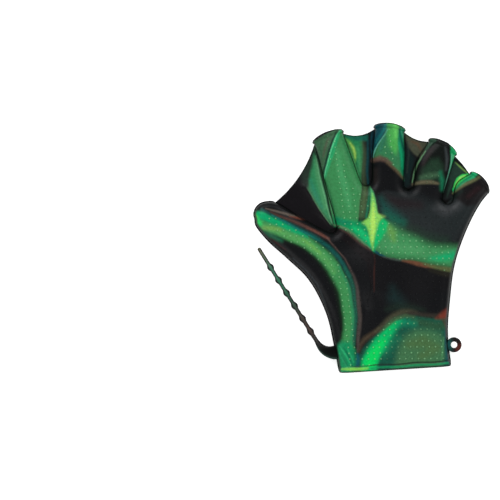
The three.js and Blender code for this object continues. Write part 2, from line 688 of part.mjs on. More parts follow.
function makeEyelet() {
  const half = EYELET_THICKNESS / 2;
  const profile = [
    [EYELET_HOLE, EYELET_CHAMFER - half],
    [EYELET_HOLE + EYELET_CHAMFER, -half],
    [EYELET_RADIUS - EYELET_CHAMFER, -half],
    [EYELET_RADIUS, EYELET_CHAMFER - half],
    [EYELET_RADIUS, half - EYELET_CHAMFER],
    [EYELET_RADIUS - EYELET_CHAMFER, half],
    [EYELET_HOLE + EYELET_CHAMFER, half],
    [EYELET_HOLE, half - EYELET_CHAMFER],
    [EYELET_HOLE, EYELET_CHAMFER - half],
  ].map(([radius, height]) => new THREE.Vector2(radius, height));
  const ring = new THREE.LatheGeometry(profile, EYELET_SIDES);
  ring.rotateX(Math.PI / 2);
  const root = placeAt(innerSide, EYELET_UP);
  ring.translate(root.x + EYELET_RADIUS - EYELET_BITE, EYELET_UP, SEAM_HEIGHT);
  return solidFrom(ring).subtract(cuffCutter());
}

// Marbled silicone: green over near-black
const silicone = (color) => new THREE.MeshStandardMaterial({ color, roughness: 0.5, metalness: 0 });
const parts = [
  { name: 'glove_shell', solid: makeShell(), material: silicone('#1f5c3a') },
  { name: 'wrist_strap', solid: makeStrap(), material: silicone('#1c2420') },
  { name: 'strap_eyelet', solid: makeEyelet(), material: silicone('#2b2220') },
];

// The glove stands with the middle of its box over the origin and its back at height 0
const glove = new THREE.Group();
for (const { name, solid, material } of parts) {
  const mesh = new THREE.Mesh(geometryFrom(solid), material);
  mesh.name = name;
  glove.add(mesh);
}
const box = new THREE.Box3().setFromObject(glove, true);
const middle = box.getCenter(new THREE.Vector3());
for (const mesh of glove.children) mesh.position.set(-middle.x, -middle.y, -box.min.z);

export default glove;
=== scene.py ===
"""A webbed half-finger swim glove, lying palm up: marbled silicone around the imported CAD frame.

Shapes are worked out in millimetres in the glove's own plan: x from the middle of the cuff towards
the little finger, y from the cuff's edge towards the fingertips, z up from the floor. place_in_frame
turns them into metres in the frame.
"""
import math

import bpy
import numpy as np
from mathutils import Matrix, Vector


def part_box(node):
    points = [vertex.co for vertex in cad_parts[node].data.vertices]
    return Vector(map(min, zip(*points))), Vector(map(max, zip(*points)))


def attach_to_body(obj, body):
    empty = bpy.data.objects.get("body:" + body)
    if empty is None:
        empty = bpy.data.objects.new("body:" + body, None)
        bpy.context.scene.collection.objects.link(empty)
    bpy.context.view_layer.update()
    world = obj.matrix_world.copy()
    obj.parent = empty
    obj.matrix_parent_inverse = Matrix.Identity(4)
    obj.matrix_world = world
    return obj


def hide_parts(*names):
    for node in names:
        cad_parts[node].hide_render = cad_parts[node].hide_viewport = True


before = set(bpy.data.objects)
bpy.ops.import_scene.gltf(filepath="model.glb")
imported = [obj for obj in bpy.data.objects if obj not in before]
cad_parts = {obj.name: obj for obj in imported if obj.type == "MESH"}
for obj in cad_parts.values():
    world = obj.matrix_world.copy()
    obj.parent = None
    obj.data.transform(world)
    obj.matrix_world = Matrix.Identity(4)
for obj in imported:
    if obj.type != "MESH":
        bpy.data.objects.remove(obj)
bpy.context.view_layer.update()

# Plan of the glove, as in the CAD
SPAN = 188.8
LENGTH = 198.6
SLEEVE_WIDTH = 26
RIM_BOW = 2.2
CROTCH_RADIUS = 4.2
THUMB_TIP_RADIUS = 9.9

# Heights
SEAM_HEIGHT = 7
SLEEVE_RISE = 7
EDGE_ROUND = 9
PALM_DOME = 5.5
DOME_START = 11
DOME_RUN = 30
CUFF_RUN = 85

# Walls, webs and beads
WALL = 1.5
WEB_THICKNESS = 1.4
RIM_BEAD_WIDTH = 2
RIM_BEAD_RISE = 1.1
CUFF_BEAD_WIDTH = 2.4
CUFF_BEAD_RISE = 0.8
BEAD_FLANK = 0.6
LIP = 1.1
LIP_ROWS = 4

# Wrist strap
STRAP_UP = 15.2
STRAP_TAB_WIDTH = 11
STRAP_TAB_LENGTH = 10
STRAP_THICKNESS = 3
STRAP_BEND = 8
STRAP_TURN = 122
STRAP_CORE = 3.5
STRAP_TAIL_CORE = 2.9
STRAP_BEADS = 6
STRAP_BEAD = 5.5
STRAP_BEAD_LENGTH = 6
STRAP_FIRST_BEAD = 19.8
STRAP_PITCH = 12.1
STRAP_TAIL = 18.5

# Eyelet
EYELET_UP = 21.4
EYELET_RADIUS = 6.1
EYELET_HOLE = 2.5
EYELET_THICKNESS = 3
EYELET_BITE = 1.1

# Painted shade: a dark line along the edges, and how dark the lips and the inside are painted
EDGE_SHADE_WIDTH = 1.3
BORDER_SHADE_WIDTH = 2.4
LIP_SHADE = 0.25
INSIDE_SHADE = 0.5

# Grip dots
DOT_RADIUS = 0.78
DOT_RISE = 0.5
DOT_MARGIN = 5.5
DOT_SLEEVE_MARGIN = 8.5
DOT_SLEEVE_START = 0.66
DOT_THUMB_END = -0.28
# Painted highlight on the dots' tops, and how strongly it is laid on
DOT_HIGHLIGHT = "#9fe6a6"
DOT_HIGHLIGHT_STRENGTH = 0.4
DOT_GREEN = (0.02, 0.1)

# Sleeves: rim's middle, width share, turn, and bows of the two sides
SLEEVES = [
    {"x": -0.285, "y": 0.949, "width": 0.95, "turn": 21, "left": 0, "right": 0},
    {"x": -0.023, "y": 0.983, "width": 0.92, "turn": -6.5, "left": 0.02, "right": 0.02},
    {"x": 0.204, "y": 0.908, "width": 0.91, "turn": -29, "left": 0.11, "right": 0},
    {"x": 0.362, "y": 0.764, "width": 0.78, "turn": -49.5, "left": 0.19, "right": 0},
]

# Crotches: centre, radius share, spread, heading of the web, and sag of its free edge
CROTCHES = [
    {"x": -0.269, "y": 0.578, "radius": 0.95, "spread": 55, "turn": 144, "sag": 0.075},
    {"x": -0.123, "y": 0.771, "radius": 1, "spread": 80, "turn": 91, "sag": 0.13},
    {"x": 0.057, "y": 0.751, "radius": 0.86, "spread": 85, "turn": 85, "sag": 0.09},
    {"x": 0.222, "y": 0.695, "radius": 0.93, "spread": 85, "turn": 64, "sag": -0.03},
]
THUMB_SIDE = [(-0.235, 0), (-0.256, 0.111), (-0.29, 0.24), (-0.364, 0.373), (-0.458, 0.461),
              (-0.538, 0.53), (-0.589, 0.592)]
THUMB_TIP = {"x": -0.544, "y": 0.632, "turn": 150, "spread": 55}
THUMB_TOP = [(-0.508, 0.681), (-0.39, 0.614)]
LITTLE_SIDE = [(0.364, 0.687), (0.322, 0.618), (0.275, 0.513), (0.246, 0.417), (0.229, 0.288),
               (0.22, 0.167), (0.226, 0.087), (0.235, 0.028)]

# Folds: rise as a share of the sleeve rise, reach as a share of the sleeve width, and a path
FOLDS = [
    (0.34, 0.3, [(-0.242, 0.975), (-0.271, 0.9), (-0.305, 0.791)]),
    (0.24, 0.28, [(-0.025, 0.993), (-0.076, 0.908), (-0.091, 0.868)]),
    (-0.26, 0.26, [(0.02, 0.985), (0.034, 0.93), (0.044, 0.832)]),
    (0.28, 0.24, [(0.123, 0.892), (0.091, 0.836), (0.07, 0.771)]),
    (-0.3, 0.24, [(0.174, 0.924), (0.112, 0.864), (0.087, 0.791)]),
    (0.26, 0.26, [(0.22, 0.916), (0.235, 0.84), (0.203, 0.703)]),
    (0.26, 0.28, [(0.309, 0.803), (0.27, 0.787), (0.246, 0.73)]),
    (0.3, 0.7, [(-0.11, 0.747), (-0.093, 0.59), (-0.093, 0.328)]),
    (-0.16, 0.5, [(-0.127, 0.248), (-0.142, 0.19), (-0.157, 0.08)]),
    (-0.22, 0.28, [(-0.551, 0.658), (-0.487, 0.646), (-0.386, 0.61)]),
]
WEB_FOLDS = [
    (0.3, 0.45, [(-0.381, 0.743), (-0.318, 0.656), (-0.263, 0.586)]),
]

# Mesh density
COLUMNS = 46
PALM_ROWS = 240
PALM_CROWDING = 0.5
CUFF_CROWDING = 0.7
ARC_ROWS = 14
WEB_ROWS = 66
BASE_SAG = 5
TIP_ROWS = 20
TIP_ARC = 7
THUMB_RELAXING = 60
WEB_RELAXING = 40
SEAM_STEPS = 160
ON_SEAM = 0.05
SAME_PLACE = 0.002
BEAD_ROWS = 8


def place(x, y):
    """Plan place from shares of the span and the length."""
    return np.array([x * SPAN, y * LENGTH])


def heading(degrees):
    """Unit direction in the plan."""
    return np.array([math.cos(math.radians(degrees)), math.sin(math.radians(degrees))])


def left_of(direction):
    return np.array([-direction[1], direction[0]])


def crowded(count):
    """Shares that stand closer together at both ends."""
    return (1 - np.cos(np.pi * np.linspace(0, 1, count + 1))) / 2


def smoothstep(value, low, high):
    share = np.clip((value - low) / (high - low), 0, 1)
    return share * share * (3 - 2 * share)


def through(knots, stations):
    """Places on the smooth curve through the knots, at stations counted in knots."""
    knots = np.asarray(knots, float)
    padded = np.vstack([2 * knots[0] - knots[1], knots, 2 * knots[-1] - knots[-2]])
    part = np.minimum(np.floor(stations).astype(int), len(knots) - 2)
    s = (stations - part)[:, None]
    p0, p1, p2, p3 = (padded[part + k] for k in range(4))
    d0, d1, d2 = (np.sqrt(np.linalg.norm(b - a, axis=1, keepdims=True))
                  for a, b in ((p0, p1), (p1, p2), (p2, p3)))
    t1 = ((p1 - p0) / d0 - (p2 - p0) / (d0 + d1) + (p2 - p1) / d1) * d1
    t2 = ((p2 - p1) / d1 - (p3 - p1) / (d1 + d2) + (p3 - p2) / d2) * d1
    return p1 + t1 * s + (3 * (p2 - p1) - 2 * t1 - t2) * s ** 2 + (2 * (p1 - p2) + t1 + t2) * s ** 3


def travel_along(line):
    """Distance travelled to each place of a line."""
    return np.concatenate([[0], np.cumsum(np.linalg.norm(np.diff(line, axis=0), axis=1))])


class Stretch:
    """The stretch of a seam between two of its knots, measured along its length."""

    def __init__(self, knots, start, end):
        self.points = through(knots, np.linspace(start, end, SEAM_STEPS + 1))
        self.travelled = travel_along(self.points)
        self.length = self.travelled[-1]

    def at(self, distances):
        goal = np.clip(distances, 0, self.length)
        return np.stack([np.interp(goal, self.travelled, self.points[:, k]) for k in (0, 1)], axis=1)


def rim_of(sleeve):
    """Left and right corner of a sleeve's rim."""
    half = heading(sleeve["turn"]) * sleeve["width"] * SLEEVE_WIDTH / 2
    middle = place(sleeve["x"], sleeve["y"])
    return middle - half, middle + half


def arc_around(centre, radius, turn, spread):
    return [place(centre["x"], centre["y"]) + radius * heading(turn + share * spread)
            for share in (-1, -0.5, 0, 0.5, 1)]


def crotch_arc(crotch):
    return arc_around(crotch, crotch["radius"] * CROTCH_RADIUS, crotch["turn"] + 180, crotch["spread"])


def bowed(start, end, bow):
    return (start + end) / 2 + left_of(end - start) * bow


def make_seams():
    """The five seams, thumb side first, each as its knots and its marks."""
    rims = [rim_of(sleeve) for sleeve in SLEEVES]
    tip = arc_around(THUMB_TIP, THUMB_TIP_RADIUS, THUMB_TIP["turn"], -THUMB_TIP["spread"])
    side = [place(*share) for share in THUMB_SIDE]
    top = [place(*share) for share in THUMB_TOP]
    arc = crotch_arc(CROTCHES[0])
    knots = side + tip + top + arc + [bowed(arc[4], rims[0][0], SLEEVES[0]["left"]), rims[0][0]]
    first_top = len(side) + len(tip)
    marks = {"base": 3, "tip": len(side) + 2, "web": first_top, "crotch": first_top + len(top) + 2,
             "rim": len(knots) - 1}
    seams = [(knots, marks)]
    for i in range(1, len(CROTCHES)):
        arc = crotch_arc(CROTCHES[i])
        start, end = rims[i - 1][1], rims[i][0]
        knots = [start, bowed(start, arc[0], SLEEVES[i - 1]["right"])] + arc
        knots += [bowed(arc[4], end, SLEEVES[i]["left"]), end]
        seams.append((knots, {"web": 0, "crotch": 4, "rim": 8}))
    knots = [rims[3][1]] + [place(*share) for share in LITTLE_SIDE]
    seams.append((knots, {"base": 2}))
    return seams


SEAMS = make_seams()


def stretch_of(seam, start, end):
    knots, marks = seam
    return Stretch(knots, marks.get(start, start), marks.get(end, end))


def last_of(seam):
    return len(seam[0]) - 1


THUMB_SEAM, LITTLE_SEAM = SEAMS[0], SEAMS[4]
SEAM_LINES = [stretch_of(THUMB_SEAM, 0, "tip").points, stretch_of(THUMB_SEAM, "tip", "rim").points]
SEAM_LINES += [stretch_of(seam, 0, last_of(seam)).points for seam in SEAMS[1:]]


def distance_to_line(line, points):
    """Distance from each point to a line of places."""
    nearest = np.full(len(points), np.inf)
    for a, b in zip(line[:-1], line[1:]):
        along = b - a
        share = np.clip(((points - a) @ along) / (along @ along), 0, 1)
        offset = points - a - share[:, None] * along
        nearest = np.minimum(nearest, np.einsum("ij,ij->i", offset, offset))
    return np.sqrt(nearest)


def seam_distance(points):
    """Distance from all the seams at once, smooth where two are equally near."""
    near = [np.maximum(distance_to_line(line, points), 1e-9) ** -4.0 for line in SEAM_LINES]
    return np.sum(near, axis=0) ** -0.25


def border_distance(points):
    """Distance from the glove's bare sides: the thumb's, up to its web, and the little finger's."""
    sides = [stretch_of(THUMB_SEAM, 0, "web").points, SEAM_LINES[-1]]
    return np.min([distance_to_line(side, points) for side in sides], axis=0)


def fold_rise(folds, points):
    rise = np.zeros(len(points))
    for share, reach, path in folds:
        line = through([place(*spot) for spot in path], np.linspace(0, len(path) - 1, 13))
        distance = distance_to_line(line, points)
        rise += share * SLEEVE_RISE * np.maximum(0, 1 - distance / (reach * SLEEVE_WIDTH)) ** 2
    return rise


def rounding(distance):
    return np.sqrt(1 - (1 - np.minimum(distance / EDGE_ROUND, 1)) ** 2)


def upper_height(points, distance):
    dome = PALM_DOME * smoothstep(distance, DOME_START, DOME_START + DOME_RUN)
    dome = dome * smoothstep(points[:, 1], 0, CUFF_RUN)
    folds = fold_rise(FOLDS, points) * np.minimum(distance / EDGE_ROUND, 1)
    height = SEAM_HEIGHT + SLEEVE_RISE * rounding(distance) + dome + folds
    return np.where(distance < ON_SEAM, SEAM_HEIGHT, height)


def lower_height(distance):
    return np.where(distance < ON_SEAM, SEAM_HEIGHT, SEAM_HEIGHT * (1 - rounding(distance)))


def fill(south, north, west, east):
    """Grid of plan places between four sides, which share their corners."""
    s, n, w, e = ((travel_along(side) / travel_along(side)[-1]) for side in (south, north, west, east))
    v = ((w + e) / 2)[:, None]
    u = s[None, :] * (1 - v) + n[None, :] * v
    u, v = u[..., None], v[..., None]
    grid = south[None] * (1 - v) + north[None] * v + west[:, None] * (1 - u) + east[:, None] * u
    grid -= west[0] * (1 - u) * (1 - v) + east[0] * u * (1 - v) + west[-1] * (1 - u) * v + east[-1] * u * v
    grid[0], grid[-1], grid[:, 0], grid[:, -1] = south, north, west, east
    return grid


def relaxed(grid, passes):
    for _ in range(passes):
        inner = (grid[1:-1, :-2] + grid[1:-1, 2:] + grid[:-2, 1:-1] + grid[2:, 1:-1]) / 4
        grid = grid.copy()
        grid[1:-1, 1:-1] = inner
    return grid


def arched(start, end, bow, shares):
    side = left_of((end - start) / np.linalg.norm(end - start))
    shares = np.asarray(shares)[:, None]
    return start + (end - start) * shares + side * 4 * shares * (1 - shares) * bow


QUARTER_ARC = CROTCH_RADIUS * math.pi / 2
ARC_DISTANCES = np.linspace(0, QUARTER_ARC, ARC_ROWS + 1)


def sleeve_rows(length):
    """Distances along a sleeve's side, with rows that round its rim bead."""
    neck = length - RIM_BEAD_WIDTH - BEAD_FLANK
    bead = neck + (length - neck) * (np.linspace(0, 1, BEAD_ROWS + 1)[1:])
    return np.concatenate([ARC_DISTANCES, np.linspace(QUARTER_ARC, neck, WEB_ROWS + 1)[1:], bead])


def thumb_rows(length, web_end):
    end = length - TIP_ARC
    return np.concatenate([ARC_DISTANCES, np.linspace(QUARTER_ARC, web_end, WEB_ROWS + 1)[1:],
                           np.linspace(web_end, end, TIP_ROWS + 1)[1:]])


def palm_rows(length):
    start = CUFF_BEAD_WIDTH + BEAD_FLANK
    shares = np.linspace(0, 1, PALM_ROWS + 1)
    shares = shares * (1 - PALM_CROWDING) + np.sin(shares * math.pi / 2) * PALM_CROWDING
    bead = np.linspace(0, start, BEAD_ROWS + 1)[:-1]
    return np.concatenate([bead, start + (length - start) * shares])


def bead_profile(travel, width, rise):
    """Height of a bead of a given width at a distance from the rim's edge: round, with a soft foot."""
    middle = width / 2
    across = (travel - middle) / (middle + BEAD_FLANK / 2)
    return rise * np.sqrt(np.clip(1 - across ** 2, 0, 1))


def knot_of(seam, mark):
    knots, marks = seam
    return np.array(knots[marks[mark]])


def make_sleeve(i, base):
    """Plan grid of a sleeve, with each row's bead height."""
    rim = rim_of(SLEEVES[i])
    left = stretch_of(SEAMS[i], "crotch", "rim")
    right = stretch_of(SEAMS[i + 1], "base" if i == 3 else "crotch", 0)
    north = arched(rim[0], rim[1], RIM_BOW, crowded(COLUMNS))
    sides = [side.at(sleeve_rows(side.length)) for side in (left, right)]
    back = left.length - sleeve_rows(left.length)
    return fill(base, north, *sides), bead_profile(back, RIM_BEAD_WIDTH, RIM_BEAD_RISE)


def make_thumb(under, over, base):
    """Plan grid of the thumb between its two sides, which meet at its tip. It has no bead."""
    half = COLUMNS // 2
    round_end = np.concatenate([
        under.at(under.length - TIP_ARC * (1 - np.arange(half) / half)),
        over.at(over.length - TIP_ARC * np.arange(half + 1) / half),
    ])
    web_end = stretch_of(THUMB_SEAM, "crotch", "web").length / over.length
    sides = [side.at(thumb_rows(side.length, web_end * side.length)) for side in (under, over)]
    grid = relaxed(fill(base, round_end, *sides), THUMB_RELAXING)
    return grid, np.zeros(len(grid))


def make_palm(top):
    """Plan grid of the palm between the cuff's edge and its top, with each row's bead height."""
    outer = stretch_of(THUMB_SEAM, 0, "base")
    inner = stretch_of(LITTLE_SEAM, last_of(LITTLE_SEAM), "base")
    shares = np.linspace(0, 1, len(top))
    shares = shares - CUFF_CROWDING * np.sin(2 * math.pi * shares) / (2 * math.pi)
    cuff = arched(outer.points[0], inner.points[0], 0, shares)
    rows = palm_rows(outer.length)
    sides = [outer.at(rows), inner.at(palm_rows(inner.length))]
    return fill(cuff, top, *sides), bead_profile(rows, CUFF_BEAD_WIDTH, CUFF_BEAD_RISE)


def make_fields():
    """Plan grids of the palm, the thumb and the sleeves, with each row's bead height."""
    bottoms = [knot_of(seam, "crotch") for seam in SEAMS[:4]] + [knot_of(LITTLE_SEAM, "base")]
    bases = [arched(bottoms[i], bottoms[i + 1], -BASE_SAG, crowded(COLUMNS)) for i in range(4)]
    sleeves = [make_sleeve(i, base) for i, base in enumerate(bases)]
    under = stretch_of(THUMB_SEAM, "base", "tip")
    over = stretch_of(THUMB_SEAM, "crotch", "tip")
    thumb_base = arched(under.points[0], over.points[0], -BASE_SAG, crowded(COLUMNS))
    top = np.concatenate([thumb_base] + [line[1:] for line in bases])
    return [make_palm(top), make_thumb(under, over, thumb_base)] + sleeves


def numbered(fields):
    """One number for each different plan place, and each field's grid of those numbers."""
    every = np.concatenate([grid.reshape(-1, 2) for grid, _ in fields])
    beads = np.concatenate([np.repeat(bead, grid.shape[1]) for grid, bead in fields])
    keys = np.round(every / SAME_PLACE).astype(np.int64)
    _, first, number = np.unique(keys, axis=0, return_index=True, return_inverse=True)
    number = number.reshape(-1)
    grids = []
    start = 0
    for grid, _ in fields:
        count = grid.shape[0] * grid.shape[1]
        grids.append(number[start:start + count].reshape(grid.shape[:2]))
        start += count
    bead = np.zeros(len(first))
    np.maximum.at(bead, number, beads)
    return every[first], bead, grids


def quads_of(grid):
    """Four corners of each cell of a grid of numbers, counter-clockwise from above."""
    cells = np.stack([grid[:-1, :-1], grid[:-1, 1:], grid[1:, 1:], grid[1:, :-1]], axis=-1)
    return cells.reshape(-1, 4)


def vertex_normals(points, quads):
    a, b, c, d = (points[quads[:, k]] for k in range(4))
    face = np.cross(c - a, d - b)
    normals = np.zeros_like(points)
    for k in range(4):
        np.add.at(normals, quads[:, k], face)
    return normals / np.maximum(np.linalg.norm(normals, axis=1, keepdims=True), 1e-12)


# The photo's pixels in the plan: where the cuff's middle and edge are, and a pixel's size
PHOTO_X = 395.0
PHOTO_Y = 371.5
PIXEL = 0.8
PHOTO_SIDE = 500
WAVER = 0.35

# The camera's height over the seams, and how much larger the glove's top looks from there
CAMERA_HEIGHT = 1500
TOP_HEIGHT = 10
CLOSER = 1 + TOP_HEIGHT / CAMERA_HEIGHT


def chart_place(points):
    """Pixel places of plan places, with a slight waver so that drawn edges look poured."""
    middle = PHOTO_SIDE / 2
    x = middle + (points[:, 0] / PIXEL + PHOTO_X - middle) * CLOSER
    y = middle + (PHOTO_Y - points[:, 1] / PIXEL - middle) * CLOSER
    waver_x = WAVER * np.sin(y * 0.19 + 0.8 * np.sin(x * 0.11))
    waver_y = WAVER * np.sin(x * 0.17 + 0.9 * np.sin(y * 0.13))
    return np.stack([x + waver_x, y + waver_y], axis=1)


def linear(text):
    """Linear colour from a hex colour."""
    value = np.array([int(text[k:k + 2], 16) / 255 for k in (1, 3, 5)])
    return np.where(value <= 0.04045, value / 12.92, ((value + 0.055) / 1.055) ** 2.4)


# Ground colour of the marbling, and the colour of the painted shade along the edges
BLACK = "#121315"
EDGE_SHADE = "#060c09"
